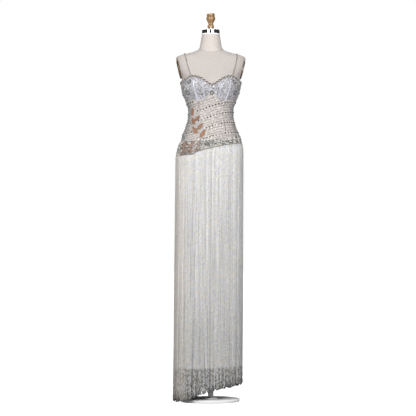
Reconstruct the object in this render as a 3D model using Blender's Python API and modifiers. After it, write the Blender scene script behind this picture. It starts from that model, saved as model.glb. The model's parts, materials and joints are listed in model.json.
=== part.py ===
"""Fringed evening gown worn by a limbless dress form on a pole and a base plate.

Metres, +Z up. The front of the gown faces -Y. The origin is the middle of the base plate's underside.
An angle goes round the body from the centre front (0) over +X (90 degrees) to the centre back (180).
The cloth's outer face is one function of angle and height, and every piece that lies on the cloth is
made from its points, moved out.
"""

import math
from collections import namedtuple

import bmesh
import bpy
import numpy as np
from mathutils import Matrix

# The dress form: sections of its covered body from the bottom edge to the top of the neck
Section = namedtuple("Section", "height half_width front back power")
BODY = (
    Section(1.0850, 0.1430, 0.0920, 0.1080, 2.3),
    Section(1.0940, 0.1500, 0.0980, 0.1150, 2.3),
    Section(1.1500, 0.1530, 0.1010, 0.1180, 2.3),
    Section(1.2070, 0.1540, 0.1020, 0.1190, 2.3),
    Section(1.2520, 0.1525, 0.1010, 0.1150, 2.3),
    Section(1.3120, 0.1425, 0.0970, 0.1020, 2.2),
    Section(1.3420, 0.1335, 0.0940, 0.0940, 2.2),
    Section(1.3720, 0.1215, 0.0900, 0.0875, 2.2),
    Section(1.4020, 0.1125, 0.0865, 0.0835, 2.1),
    Section(1.4400, 0.1085, 0.0840, 0.0815, 2.1),
    Section(1.4620, 0.1095, 0.0840, 0.0820, 2.1),
    Section(1.4920, 0.1190, 0.0865, 0.0840, 2.1),
    Section(1.5220, 0.1315, 0.0900, 0.0870, 2.2),
    Section(1.5520, 0.1415, 0.0930, 0.0895, 2.2),
    Section(1.5820, 0.1455, 0.0940, 0.0910, 2.3),
    Section(1.6120, 0.1448, 0.0910, 0.0920, 2.3),
    Section(1.6400, 0.1560, 0.0860, 0.0920, 2.4),
    Section(1.6630, 0.1670, 0.0800, 0.0900, 2.4),
    Section(1.6850, 0.1725, 0.0740, 0.0860, 2.4),
    Section(1.7070, 0.1740, 0.0680, 0.0800, 2.4),
    Section(1.7160, 0.1730, 0.0645, 0.0765, 2.4),
    Section(1.7220, 0.1700, 0.0620, 0.0730, 2.4),
    Section(1.7320, 0.1480, 0.0580, 0.0690, 2.3),
    Section(1.7450, 0.0980, 0.0540, 0.0630, 2.2),
    Section(1.7530, 0.0750, 0.0530, 0.0600, 2.1),
    Section(1.7600, 0.0630, 0.0520, 0.0580, 2.0),
    Section(1.7700, 0.0560, 0.0500, 0.0560, 2.0),
    Section(1.7930, 0.0515, 0.0470, 0.0520, 2.0),
    Section(1.8385, 0.0440, 0.0440, 0.0450, 2.0),
)
FORM_LEVELS = (
    *(1.0850, 1.0895, 1.0970, 1.1500, 1.2070, 1.2400, 1.2700, 1.2980, 1.3260, 1.3540, 1.3820, 1.4110),
    *(1.4400, 1.4690, 1.4970, 1.5220, 1.5430, 1.5600, 1.5770, 1.5940, 1.6120, 1.6400, 1.6720, 1.7060),
    *(1.7075, 1.7160, 1.7250, 1.7350, 1.7450, 1.7530, 1.7600, 1.7700, 1.7930, 1.8385),
)
FORM_COLUMNS = 36
BUST_ANGLE = math.radians(35.0)
BUST_SPREAD = math.radians(20.0)
BUST_HEIGHT = 1.577
BUST_REACH = 0.027
BUST_ABOVE = 0.042
BUST_BELOW = 0.038

# The armholes: the body is cut flat there, under a ledge, and an oval plate closes each cut
ARM_MIDDLE = 1.6590
ARM_HALF_WIDTH = 0.1550
ARM_LEAN = math.radians(13.5)
ARM_BOTTOM = 1.6115
ARM_TOP = 1.707
PLATE_HALF_HEIGHT = 0.0465
PLATE_HALF_DEPTH = 0.034
PLATE_THICKNESS = 0.0075
PLATE_SET_BACK = 0.0020
PLATE_STEPS = 24
PLATE_EDGE = 0.0025

# Neck cap, finial, pole and base plate
CAP_RADIUS = 0.0440
CAP_BOTTOM = 1.8388
CAP_TOP = 1.8580
CAP_EDGE = 0.0030
STEM_RADIUS = 0.0085
FINIAL_BOTTOM = 1.8670
POLE_RADIUS = 0.0140
POLE_FLANGE_RADIUS = 0.0450
POLE_FOOT_RADIUS = 0.0340
FLANGE_THICKNESS = 0.0060
BASE_HALF_WIDTH = 0.1450
BASE_HALF_DEPTH = 0.0920
BASE_THICKNESS = 0.0160
BASE_STEPS = 36
BASE_EDGE = 0.0030
LATHE_STEPS = 20

# The finial's turned outline, from its top down
Turn = namedtuple("Turn", "above_foot radius")
FINIAL = (
    Turn(0.0750, 0.0120),
    Turn(0.0728, 0.0170),
    Turn(0.0660, 0.0200),
    Turn(0.0595, 0.0190),
    Turn(0.0500, 0.0224),
    Turn(0.0390, 0.0205),
    Turn(0.0290, 0.0145),
    Turn(0.0200, 0.0120),
    Turn(0.0090, 0.0165),
    Turn(0.0030, 0.0160),
    Turn(0.0000, 0.0140),
)

# The skirt hangs from the hips, a little further out on the wearer's right (-X)
Fall = namedtuple("Fall", "height centre_x half_width front back")
SKIRT = (
    Fall(0.000, -0.0160, 0.1690, 0.1065, 0.1240),
    Fall(1.207, -0.0070, 0.1643, 0.1055, 0.1227),
)
SKIRT_POWER = 2.3
HANG_START = 1.312

# Cloth and seams
EASE = 0.0020
CLOTH = 0.0018
SEAM = 0.0003
PANEL_SEAM = 0.0006
LAY = 0.0008
PRINCESS = math.radians(40.0)
SIDE = math.radians(90.0)
BACK = math.radians(180.0)
ZIP_OPENING = 0.0060
CHEST_RADIUS = 0.13
HIP_RADIUS = 0.15
SPINE_RADIUS = 0.09
COLUMN = math.radians(6.0)
PANEL_LEVELS = (0, 0.09, 0.18, 0.28, 0.38, 0.47, 0.55, 0.63, 0.70, 0.77, 0.835, 0.895, 0.95, 1)

# Neckline: the sweetheart in front, a shallow scoop behind
Edge = namedtuple("Edge", "angle height")
NECKLINE = (
    Edge(0.0, 1.5760),
    Edge(13.0, 1.5905),
    Edge(25.0, 1.6085),
    Edge(34.0, 1.6170),
    Edge(44.0, 1.6220),
    Edge(54.0, 1.6180),
    Edge(65.0, 1.6055),
    Edge(76.0, 1.5970),
    Edge(90.0, 1.5930),
    Edge(120.0, 1.5870),
    Edge(140.0, 1.5820),
    Edge(160.0, 1.5740),
    Edge(180.0, 1.5680),
)

# Hip band: both edges by side, which is -1 at the wearer's right seam and 1 at the left one
Band = namedtuple("Band", "side lower upper")
HIP_BAND = (
    Band(-1.00, 1.2230, 1.2960),
    Band(-0.85, 1.2285, 1.2985),
    Band(-0.70, 1.2320, 1.2990),
    Band(-0.57, 1.2440, 1.2995),
    Band(-0.30, 1.2550, 1.3015),
    Band(0.00, 1.2635, 1.3055),
    Band(0.35, 1.2710, 1.3105),
    Band(0.60, 1.2785, 1.3150),
    Band(0.85, 1.2860, 1.3240),
    Band(1.00, 1.2895, 1.3325),
)
BAND_COLUMNS = 40
BAND_ROWS = 3
BAND_THICKNESS = 0.0026
BAND_BEAD = 0.0012

# Beaded trim along the neckline
TRIM_WIDTH = 0.0085
TRIM_LIFT = 0.0010
TRIM_THICKNESS = 0.0016
TRIM_BEAD = 0.0012
TRIM_BEAD_ANGLE = math.radians(6.0)

# Satin boning channels on the princess seams of the cups
CHANNEL_WIDTH = 0.0110
CHANNEL_TOP_WIDTH = 0.0060
CHANNEL_LIFT = 0.0012
CHANNEL_THICKNESS = 0.0012
CHANNEL_CROWN = 0.8
CHANNEL_DROP = 0.0220
CHANNEL_BOTTOM = 1.4970
CHANNEL_ROWS = 8

# Straps
STRAP_RADIUS = 0.0018
STRAP_CLEARANCE = 0.0013
STRAP_FRONT_ANGLE = math.radians(51.0)
STRAP_BACK_ANGLE = math.radians(138.0)
STRAP_SHOULDER_X = 0.1320
STRAP_POINTS = 22
STRAP_PIVOT_HEIGHT = 1.640
STRAP_SPREAD = 0.8

# Underskirt and fringe
HEM_LEFT = 0.1720
HEM_RIGHT = 0.1850
HANG_LEVEL = 1.190
HIP_ROWS = 4
STRANDS_EACH = 60
STRAND_STEP = 0.045
FRINGE_LIFT = 0.0013
STRAND_SHARE = 0.64
STRAND_THICKNESS = 0.0022
TAPE_HEIGHT = 0.0060
TIP_JAG = 0.0070
JAG_TURN = 2.4
JAG_SWELL = 0.7
JAG_DROP = 0.6

# Height of the fringe's tips by side
Tip = namedtuple("Tip", "side height")
TIPS = (
    Tip(-1.00, 0.0125),
    Tip(-0.80, 0.0130),
    Tip(-0.66, 0.0320),
    Tip(-0.50, 0.0440),
    Tip(-0.20, 0.0560),
    Tip(0.10, 0.0650),
    Tip(0.35, 0.0730),
    Tip(0.60, 0.0800),
    Tip(0.82, 0.0860),
    Tip(1.00, 0.0980),
)

# Leaf spray at the wearer's right waist: where each leaf starts, which way it points and how long it is
Leaf = namedtuple("Leaf", "name angle height turn length half_width")
LEAVES = (
    Leaf("leaf_1", -31.0, 1.313, 62.0, 0.048, 0.0094),
    Leaf("leaf_2", -39.0, 1.333, 128.0, 0.045, 0.0088),
    Leaf("leaf_3", -41.0, 1.352, 50.0, 0.044, 0.0086),
    Leaf("leaf_4", -50.0, 1.378, 118.0, 0.043, 0.0082),
    Leaf("leaf_5", -52.0, 1.396, 45.0, 0.038, 0.0076),
    Leaf("leaf_6", -60.5, 1.422, 88.0, 0.044, 0.0080),
)
LEAF_LIFT = 0.0008
LEAF_THICKNESS = 0.0014
LEAF_STEPS = 7
LEAF_POINT = 0.8
LEAF_SECTION = ((-1, 0), (0, 0), (1, 0), (0.7, 0.8), (0, 1), (-0.7, 0.8))

# Zip: a fine chain in the centre back seam, its slider and the hinged pull tab
CHAIN_HALF_WIDTH = 0.0024
CHAIN_TOP = 1.5560
CHAIN_ROWS = 14
CHAIN_SET_IN = 0.0014
SLIDER_HEIGHT = 1.5480
SLIDER_HALF_WIDTH = 0.0035
SLIDER_HALF_LENGTH = 0.0060
SLIDER_THICKNESS = 0.0018
BRIDGE_HALF_WIDTH = 0.0007
BRIDGE_HALF_LENGTH = 0.0033
BRIDGE_WALL = 0.0008
BRIDGE_ROOT = 0.0006
BRIDGE_PLAY = 0.0006
TAB_HALF_THICKNESS = 0.0006
TAB_CLEARANCE = 0.0004
TAB_HALF_WIDTH = 0.0026
TAB_LENGTH = 0.0240
TAB_EYE_HALF_WIDTH = 0.0014
TAB_EYE_LENGTH = 0.0046

# Colours as red, green, blue, then roughness and metallic
Finish = namedtuple("Finish", "red green blue roughness metallic")
FINISHES = {
    "linen": Finish(0.80, 0.75, 0.68, 0.85, 0.0),
    "dark_wood": Finish(0.20, 0.10, 0.04, 0.50, 0.0),
    "turned_wood": Finish(0.60, 0.36, 0.15, 0.45, 0.0),
    "chrome": Finish(0.80, 0.80, 0.82, 0.12, 1.0),
    "white_paint": Finish(0.84, 0.84, 0.82, 0.45, 0.0),
    "beaded_cloth": Finish(0.66, 0.64, 0.61, 0.45, 0.2),
    "satin": Finish(0.78, 0.77, 0.84, 0.30, 0.0),
    "bead_trim": Finish(0.36, 0.31, 0.27, 0.30, 0.4),
    "underskirt_cloth": Finish(0.70, 0.68, 0.65, 0.60, 0.0),
    "bead_fringe": Finish(0.72, 0.71, 0.69, 0.25, 0.2),
    "copper_beads": Finish(0.60, 0.34, 0.22, 0.40, 0.2),
    "zip_metal": Finish(0.62, 0.61, 0.58, 0.35, 1.0),
}


def smooth_curve(places, values, at):
    """Values between the rows of a table: a cubic between each two rows that never overshoots them."""
    places = np.asarray(places, float)
    values = np.asarray(values, float)
    at = np.clip(np.asarray(at, float), places[0], places[-1])
    gaps = np.diff(places)
    rises = np.diff(values) / gaps
    slopes = np.zeros(len(places))
    slopes[0] = rises[0]
    slopes[-1] = rises[-1]
    before, after = rises[:-1], rises[1:]
    same_way = before * after > 0
    slopes[1:-1] = np.where(same_way, 2 * before * after / np.where(same_way, before + after, 1), 0)
    row = np.clip(np.searchsorted(places, at, side="right") - 1, 0, len(gaps) - 1)
    gap = gaps[row]
    part = (at - places[row]) / gap
    rest = 1 - part
    start = values[row] * (1 + 2 * part) * rest**2 + slopes[row] * gap * part * rest**2
    end = values[row + 1] * (3 - 2 * part) * part**2 - slopes[row + 1] * gap * rest * part**2
    return start + end


def column(table, name):
    return [getattr(row, name) for row in table]


def from_table(table, key, name, at):
    return smooth_curve(column(table, key), column(table, name), at)


def outline_radius(angle, half_width, front, back, power):
    """Distance from the axis to a rounded section that is deeper in front or behind."""
    depth = np.where(np.cos(angle) > 0, front, back)
    across = (np.abs(np.sin(angle)) / half_width) ** power
    along = (np.abs(np.cos(angle)) / depth) ** power
    return (across + along) ** (-1 / power)


def cups(angle, height):
    """How far the two cups push the section out, as two soft lobes."""
    rise = height - BUST_HEIGHT
    spread = np.where(rise > 0, BUST_ABOVE, BUST_BELOW)
    vertical = np.exp(-0.5 * (rise / spread) ** 2)
    turned = (np.asarray(angle, float) + math.pi) % (2 * math.pi) - math.pi
    left = np.exp(-0.5 * ((turned + BUST_ANGLE) / BUST_SPREAD) ** 2)
    right = np.exp(-0.5 * ((turned - BUST_ANGLE) / BUST_SPREAD) ** 2)
    return BUST_REACH * vertical * (left + right)


def arm_plane(height):
    """Half width of the flat cut at an armhole, which leans outwards with height."""
    return ARM_HALF_WIDTH + (height - ARM_MIDDLE) * math.tan(ARM_LEAN)


def form_radius(angle, height):
    sizes = [from_table(BODY, "height", name, height) for name in Section._fields[1:]]
    radius = outline_radius(angle, *sizes) + cups(angle, height)
    flat = arm_plane(height) / np.maximum(np.abs(np.sin(angle)), 1e-6)
    return np.where((height > ARM_BOTTOM) & (height < ARM_TOP), np.minimum(radius, flat), radius)


def round_axis(angle, radius, height, centre_x=0.0):
    x = centre_x + radius * np.sin(angle)
    y = -radius * np.cos(angle)
    return np.stack(np.broadcast_arrays(x, y, height), axis=-1)


def form_point(angle, height):
    return round_axis(angle, form_radius(angle, height), height)


def cloth_face(angle, height):
    """The cloth's outer face: close to the form above the hips, hanging straight below them."""
    angle, height = np.broadcast_arrays(np.asarray(angle, float), np.asarray(height, float))
    close = round_axis(angle, form_radius(angle, height) + EASE + CLOTH, height)
    hip = SKIRT[-1].height
    low = np.minimum(height, hip)
    sizes = [from_table(SKIRT, "height", name, low) for name in Fall._fields[2:]]
    centre_x = from_table(SKIRT, "height", "centre_x", low)
    hanging = round_axis(angle, outline_radius(angle, *sizes, SKIRT_POWER), height, centre_x)
    share = np.clip((height - hip) / (HANG_START - hip), 0, 1)
    share = (share**2 * (3 - 2 * share))[..., None]
    return close * share + hanging * (1 - share)


def cloth_point(angle, height, out=0.0):
    """A point moved out from the cloth's face, square to it."""
    angle, height = np.broadcast_arrays(np.asarray(angle, float), np.asarray(height, float))
    step_angle, step_height = 0.004, 0.001
    round_it = cloth_face(angle + step_angle, height) - cloth_face(angle - step_angle, height)
    up_it = cloth_face(angle, height + step_height) - cloth_face(angle, height - step_height)
    normal = np.cross(round_it, up_it)
    normal /= np.linalg.norm(normal, axis=-1, keepdims=True)
    return cloth_face(angle, height) + normal * np.asarray(out, float)[..., None]


def neckline(angle):
    turned = np.abs((np.asarray(angle, float) + math.pi) % (2 * math.pi) - math.pi)
    return from_table(NECKLINE, "angle", "height", np.degrees(turned))


def band_edge(angle, name):
    return from_table(HIP_BAND, "side", name, np.sin(angle))


def waist_seam(angle):
    """Where bodice and underskirt meet, hidden in the middle of the hip band."""
    return (band_edge(angle, "lower") + band_edge(angle, "upper")) / 2


def hem(angle):
    share = (np.sin(angle) + 1) / 2
    return HEM_LEFT + (HEM_RIGHT - HEM_LEFT) * share


def material(name):
    found = bpy.data.materials.get(name)
    if found:
        return found
    finish = FINISHES[name]
    made = bpy.data.materials.new(name)
    made.use_nodes = True
    shader = made.node_tree.nodes["Principled BSDF"]
    shader.inputs["Base Color"].default_value = (finish.red, finish.green, finish.blue, 1)
    shader.inputs["Roughness"].default_value = finish.roughness
    shader.inputs["Metallic"].default_value = finish.metallic
    made.diffuse_color = (finish.red, finish.green, finish.blue, 1)
    return made


def add_object(name, data, finish, collection):
    data.materials.append(material(finish))
    made = bpy.data.objects.new(name, data)
    collection.objects.link(made)
    return made


def add_bmesh(name, bm, finish, collection, smooth=True):
    bmesh.ops.recalc_face_normals(bm, faces=bm.faces)
    mesh = bpy.data.meshes.new(name)
    bm.to_mesh(mesh)
    bm.free()
    if smooth:
        mesh.shade_smooth()
        mesh.set_sharp_from_angle(angle=math.radians(40))
    return add_object(name, mesh, finish, collection)


def solidify(made, thickness):
    """Gives an open surface its thickness, grown inwards so that the face stays where it was put."""
    wall = made.modifiers.new("Wall", "SOLIDIFY")
    wall.thickness = thickness
    wall.offset = -1
    wall.use_even_offset = True
    return made


def sheet(name, columns, rows, place, finish, collection, thickness=CLOTH):
    """A cloth panel: a grid whose points come from place(across, up), each from 0 to 1, with a thickness."""
    bm = bmesh.new()
    bmesh.ops.create_grid(bm, x_segments=columns, y_segments=rows, size=0.5)
    flat = np.array([v.co for v in bm.verts])
    for vert, point in zip(bm.verts, place(flat[:, 0] + 0.5, flat[:, 1] + 0.5)):
        vert.co = point
    mesh = bpy.data.meshes.new(name)
    bm.to_mesh(mesh)
    bm.free()
    mesh.shade_smooth()
    return solidify(add_object(name, mesh, finish, collection), thickness)


def loft(bm, rings):
    """Skins rings of points, one after another, with a face on the first and the last ring."""
    made = [[bm.verts.new(point) for point in ring] for ring in rings]
    for here, there in zip(made, made[1:]):
        for corner in range(len(here)):
            after = (corner + 1) % len(here)
            bm.faces.new((here[corner], there[corner], there[after], here[after]))
    bm.faces.new(made[0])
    bm.faces.new(reversed(made[-1]))
    return made


def wall_rings(angles, lower, upper, rows, bead, thickness):
    """Sections of a band on the cloth: a plain inside, and an outside whose points a bead pattern raises."""
    rings = []
    for index, angle in enumerate(angles):
        heights = np.linspace(lower(angle), upper(angle), rows + 1)
        raised = [bead * ((index + row) % 2) for row in range(rows + 1)]
        inside = cloth_point(angle, heights, LAY)
        outside = cloth_point(angle, heights, LAY + thickness + np.array(raised))
        rings.append([*inside, *outside[::-1]])
    return rings


def half_seam(gap, radius):
    """Half a seam's width, as an angle at this distance from the axis."""
    return gap / 2 / radius


def panel(name, start, end, collection):
    """A bodice panel between two seams, from the hip seam to the neckline."""
    rows = len(PANEL_LEVELS) - 1

    def place(across, up):
        angle = start + (end - start) * across
        low, high = waist_seam(angle) + PANEL_SEAM / 2, neckline(angle)
        return cloth_point(angle, low + (high - low) * np.interp(up * rows, range(rows + 1), PANEL_LEVELS))

    sheet(name, round((end - start) / COLUMN), rows, place, "beaded_cloth", collection)


def bodice(collection):
    gap = half_seam(PANEL_SEAM, CHEST_RADIUS)
    zip_gap = half_seam(ZIP_OPENING, SPINE_RADIUS)
    panel("bodice_centre_front", -PRINCESS + gap, PRINCESS - gap, collection)
    for side, name in ((-1, "right"), (1, "left")):
        inner, outer = PRINCESS + gap, SIDE - gap
        low, high = sorted((side * inner, side * outer))
        panel(f"bodice_side_front_{name}", low, high, collection)
        low, high = sorted((side * (SIDE + gap), side * (BACK - zip_gap)))
        panel(f"bodice_back_{name}", low, high, collection)


def channels(collection):
    """Satin boning channels over the princess seams, from below the cups up to a narrow end under the trim."""
    for side, name in ((-1, "right"), (1, "left")):
        rings = []
        top = float(neckline(PRINCESS)) - CHANNEL_DROP
        widths = np.linspace(CHANNEL_WIDTH, CHANNEL_TOP_WIDTH, CHANNEL_ROWS + 1)
        for height, width in zip(np.linspace(CHANNEL_BOTTOM, top, CHANNEL_ROWS + 1), widths):
            radius = float(form_radius(PRINCESS, height))
            half = width / 2 / radius
            angles = side * PRINCESS + half * np.array([-1, 0, 1, CHANNEL_CROWN, 0, -CHANNEL_CROWN])
            out = CHANNEL_LIFT + CHANNEL_THICKNESS * np.array([0, 0, 0, CHANNEL_CROWN, 1, CHANNEL_CROWN])
            rings.append(list(cloth_point(angles, height, out)))
        bm = bmesh.new()
        loft(bm, rings)
        add_bmesh(f"boning_channel_{name}", bm, "satin", collection)


def neck_trim(collection):
    """The row of beads along the neckline, in a front piece and two back pieces that leave the zip free."""
    gap = half_seam(SEAM, CHEST_RADIUS)
    zip_gap = half_seam(ZIP_OPENING, SPINE_RADIUS)
    pieces = (
        ("neck_trim_front", -SIDE + gap, SIDE - gap),
        ("neck_trim_back_left", SIDE + gap, BACK - zip_gap),
        ("neck_trim_back_right", -BACK + zip_gap, -SIDE - gap),
    )
    for name, start, end in pieces:
        count = 2 * max(2, round((end - start) / TRIM_BEAD_ANGLE))
        angles = np.linspace(start, end, count + 1)
        rings = wall_rings(
            angles,
            lambda angle: neckline(angle) - TRIM_WIDTH,
            lambda angle: neckline(angle) + TRIM_LIFT,
            1,
            0.0,
            TRIM_THICKNESS,
        )
        for index, (ring, angle) in enumerate(zip(rings, angles)):
            middle = neckline(angle) - TRIM_WIDTH / 2
            crown = LAY + TRIM_THICKNESS + TRIM_BEAD * (index % 2)
            ring.insert(3, cloth_point(angle, middle, crown))
        bm = bmesh.new()
        loft(bm, rings)
        add_bmesh(name, bm, "bead_trim", collection, smooth=False)


def hip_band(collection):
    """The slanted girdle, beaded all over, as a front and a back piece that meet at the side seams."""
    gap = half_seam(SEAM, HIP_RADIUS)
    pieces = (
        ("hip_band_front", -SIDE + gap, SIDE - gap),
        ("hip_band_back", SIDE + gap, BACK + SIDE - gap),
    )
    for name, start, end in pieces:
        angles = np.linspace(start, end, BAND_COLUMNS + 1)
        rings = wall_rings(
            angles,
            lambda angle: band_edge(angle, "lower"),
            lambda angle: band_edge(angle, "upper"),
            BAND_ROWS,
            BAND_BEAD,
            BAND_THICKNESS,
        )
        bm = bmesh.new()
        loft(bm, rings)
        add_bmesh(name, bm, "bead_trim", collection, smooth=False)


def underskirt(collection):
    """The tube of cloth under the fringe, a front and a back piece from the hip seam to its own hem."""
    gap = half_seam(SEAM, HIP_RADIUS)
    rows = HIP_ROWS + 1
    pieces = (
        ("underskirt_front", -SIDE + gap, SIDE - gap),
        ("underskirt_back", SIDE + gap, BACK + SIDE - gap),
    )
    for name, start, end in pieces:

        def place(across, up, start=start, end=end):
            angle = start + (end - start) * across
            top = waist_seam(angle) - PANEL_SEAM / 2
            row = (1 - up) * rows
            over_hip = top + (HANG_LEVEL - top) * row / HIP_ROWS
            return cloth_point(angle, np.where(row > HIP_ROWS + 0.5, hem(angle), over_hip))

        sheet(name, round((end - start) / COLUMN), rows, place, "underskirt_cloth", collection)


def fringe(collection):
    """Bead fringe in a front and a back piece: a tape under the hip band, and strands drawn down from it.

    The tape's columns are by turns a strand and a gap. Each strand starts as the tape's lower face there.
    """
    gap = half_seam(SEAM, HIP_RADIUS)
    pieces = (
        ("fringe_front", -SIDE + gap, SIDE - gap, 0),
        ("fringe_back", SIDE + gap, BACK + SIDE - gap, STRANDS_EACH),
    )
    for name, start, end, first in pieces:
        pitch = (end - start) / STRANDS_EACH
        edges = []
        for strand in range(STRANDS_EACH):
            left = start + pitch * (strand + (1 - STRAND_SHARE) / 2)
            edges += [left, left + pitch * STRAND_SHARE]
        edges = np.array(edges)
        top = band_edge(edges, "lower") - SEAM
        low = top - TAPE_HEIGHT
        near, far = FRINGE_LIFT, FRINGE_LIFT + STRAND_THICKNESS
        outline = ((low, near), (low, far), (top, far), (top, near))
        bm = bmesh.new()
        made = loft(bm, np.stack([cloth_point(edges, height, out) for height, out in outline], axis=1))
        for strand in range(STRANDS_EACH):
            before, after = made[2 * strand], made[2 * strand + 1]
            face = bm.faces.get((before[0], after[0], after[1], before[1]))
            left, right = edges[2 * strand], edges[2 * strand + 1]
            jag = math.sin(JAG_TURN * (first + strand)) * math.sin(JAG_SWELL * (first + strand) + 1)
            tip = from_table(TIPS, "side", "height", math.sin(left)) + TIP_JAG * max(jag, -JAG_DROP)
            root = low[2 * strand]
            steps = math.ceil((root - HANG_LEVEL) / STRAND_STEP)
            for height in (*np.linspace(root, HANG_LEVEL, steps + 1)[1:], tip):
                face = bmesh.ops.extrude_discrete_faces(bm, faces=[face])["faces"][0]
                corners = cloth_point((left, right, right, left), height, (near, near, far, far))
                for vert, corner in zip(face.verts, corners):
                    vert.co = corner
        add_bmesh(name, bm, "bead_fringe", collection, smooth=False)


def surface_hit(x, height, tilt):
    """Where a ray in the plane at x leaves the form. It starts at this height, and tilt turns it up."""
    start = np.array([x, 0, height])
    step = np.array([0, -math.cos(tilt), math.sin(tilt)])
    inside, outside = 0, 2 * BODY[0].half_width
    while outside - inside > SEAM / 10:
        reach = (inside + outside) / 2
        point = start + reach * step
        radius = form_radius(math.atan2(point[0], -point[1]), point[2])
        if math.hypot(point[0], point[1]) < radius:
            inside = reach
        else:
            outside = reach
    return start + inside * step


def strap_route(side):
    """Points from the front neckline over the shoulder to the back neckline, just off the form's surface."""
    ends = []
    for angle in (STRAP_FRONT_ANGLE, STRAP_BACK_ANGLE):
        height = float(neckline(angle)) + TRIM_LIFT + STRAP_RADIUS
        ends.append(form_point(angle, height))
    tilts = [math.atan2(end[2] - STRAP_PIVOT_HEIGHT, -end[1]) % (2 * math.pi) for end in ends]
    tilts[0] -= 2 * math.pi if tilts[0] > math.pi else 0
    route = []
    for share in np.linspace(0, 1, STRAP_POINTS):
        tilt = tilts[0] + (tilts[1] - tilts[0]) * share
        straight = ends[0][0] + (ends[1][0] - ends[0][0]) * share
        x = straight + (STRAP_SHOULDER_X - straight) * math.sin(math.pi * share) ** STRAP_SPREAD
        point = surface_hit(x, STRAP_PIVOT_HEIGHT, tilt)
        ahead = surface_hit(x, STRAP_PIVOT_HEIGHT, tilt + math.radians(1))
        aside = surface_hit(x + STRAP_RADIUS, STRAP_PIVOT_HEIGHT, tilt)
        normal = np.cross(aside - point, ahead - point)
        normal *= (STRAP_RADIUS + STRAP_CLEARANCE) / np.linalg.norm(normal)
        point = point + normal
        route.append((side * point[0], point[1], point[2]))
    return route


def tube(name, route, radius, finish, collection):
    curve = bpy.data.curves.new(name, "CURVE")
    curve.dimensions = "3D"
    curve.bevel_depth = radius
    curve.bevel_resolution = 1
    curve.use_fill_caps = True
    spline = curve.splines.new("POLY")
    spline.points.add(len(route) - 1)
    for point, place in zip(spline.points, route):
        point.co = (*place, 1)
    return add_object(name, curve, finish, collection)


def straps(collection):
    for side, name in ((-1, "right"), (1, "left")):
        tube(f"strap_{name}", strap_route(side), STRAP_RADIUS, "bead_trim", collection)


def leaf_spray(collection):
    """Raised leaves on the wearer's right waist, each a pointed oval laid on the cloth."""
    for leaf in LEAVES:
        angle, height = math.radians(leaf.angle), leaf.height
        radius = float(form_radius(angle, height))
        turn = math.radians(leaf.turn)
        rings = []
        for step in range(1, LEAF_STEPS):
            along = step / LEAF_STEPS
            half = leaf.half_width * math.sin(math.pi * along) ** LEAF_POINT
            here = along * leaf.length
            ring = []
            for aside, out in LEAF_SECTION:
                right = here * math.cos(turn) - aside * half * math.sin(turn)
                rise = here * math.sin(turn) + aside * half * math.cos(turn)
                lift = LEAF_LIFT + LEAF_THICKNESS * out
                ring.append(cloth_point(angle + right / radius, height + rise, lift))
            rings.append(ring)
        bm = bmesh.new()
        loft(bm, rings)
        add_bmesh(leaf.name, bm, "copper_beads", collection)


def dress_form(collection):
    """The covered body: horizontal sections from the bottom edge over the shoulders to the neck's top."""
    angles = np.linspace(0, 2 * math.pi, FORM_COLUMNS, endpoint=False)
    rings = [form_point(angles, height) for height in FORM_LEVELS]
    bm = bmesh.new()
    loft(bm, rings)
    add_bmesh("form_torso", bm, "linen", collection)


def arm_plates(collection):
    for side, name in ((-1, "right"), (1, "left")):
        bm = bmesh.new()
        bmesh.ops.create_cone(
            bm, cap_ends=True, segments=PLATE_STEPS, radius1=1, radius2=1, depth=PLATE_THICKNESS
        )
        bmesh.ops.scale(bm, vec=(PLATE_HALF_HEIGHT, PLATE_HALF_DEPTH, 1), verts=bm.verts)
        outside = PLATE_THICKNESS / 2 + SEAM
        bmesh.ops.translate(bm, vec=(0, 0, outside), verts=bm.verts)
        made = add_bmesh(f"form_arm_plate_{name}", bm, "dark_wood", collection)
        lean = Matrix.Rotation(side * (math.pi / 2 + ARM_LEAN), 4, "Y")
        made.matrix_world = Matrix.Translation((side * ARM_HALF_WIDTH, PLATE_SET_BACK, ARM_MIDDLE)) @ lean
        edge = made.modifiers.new("Edge", "BEVEL")
        edge.width = PLATE_EDGE
        edge.segments = 1
        edge.limit_method = "ANGLE"


def lathe(name, profile, finish, collection):
    """A turned piece: a profile of (radius, height) pairs from the top down, spun about the Z axis."""
    mesh = bpy.data.meshes.new(name)
    verts = [(radius, 0, height) for radius, height in profile]
    edges = [(k, k + 1) for k in range(len(verts) - 1)]
    mesh.from_pydata(verts, edges, [])
    made = add_object(name, mesh, finish, collection)
    spin = made.modifiers.new("Spin", "SCREW")
    spin.steps = LATHE_STEPS
    spin.render_steps = LATHE_STEPS
    spin.use_merge_vertices = True
    spin.merge_threshold = 0.00001
    spin.use_smooth_shade = True
    return made


def neck_cap_and_finial(collection):
    cap = [
        (0, FINIAL_BOTTOM - SEAM),
        (STEM_RADIUS, FINIAL_BOTTOM - SEAM),
        (STEM_RADIUS, CAP_TOP),
        (CAP_RADIUS - CAP_EDGE, CAP_TOP),
        (CAP_RADIUS - CAP_EDGE / 3, CAP_TOP - CAP_EDGE / 3),
        (CAP_RADIUS, CAP_TOP - CAP_EDGE),
        (CAP_RADIUS, CAP_BOTTOM),
        (0, CAP_BOTTOM),
    ]
    lathe("form_neck_cap", cap, "chrome", collection)
    top = FINIAL_BOTTOM + FINIAL[0].above_foot
    turned = [(row.radius, FINIAL_BOTTOM + row.above_foot) for row in FINIAL]
    lathe("form_finial", [(0, top), *turned, (0, FINIAL_BOTTOM)], "turned_wood", collection)


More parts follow.
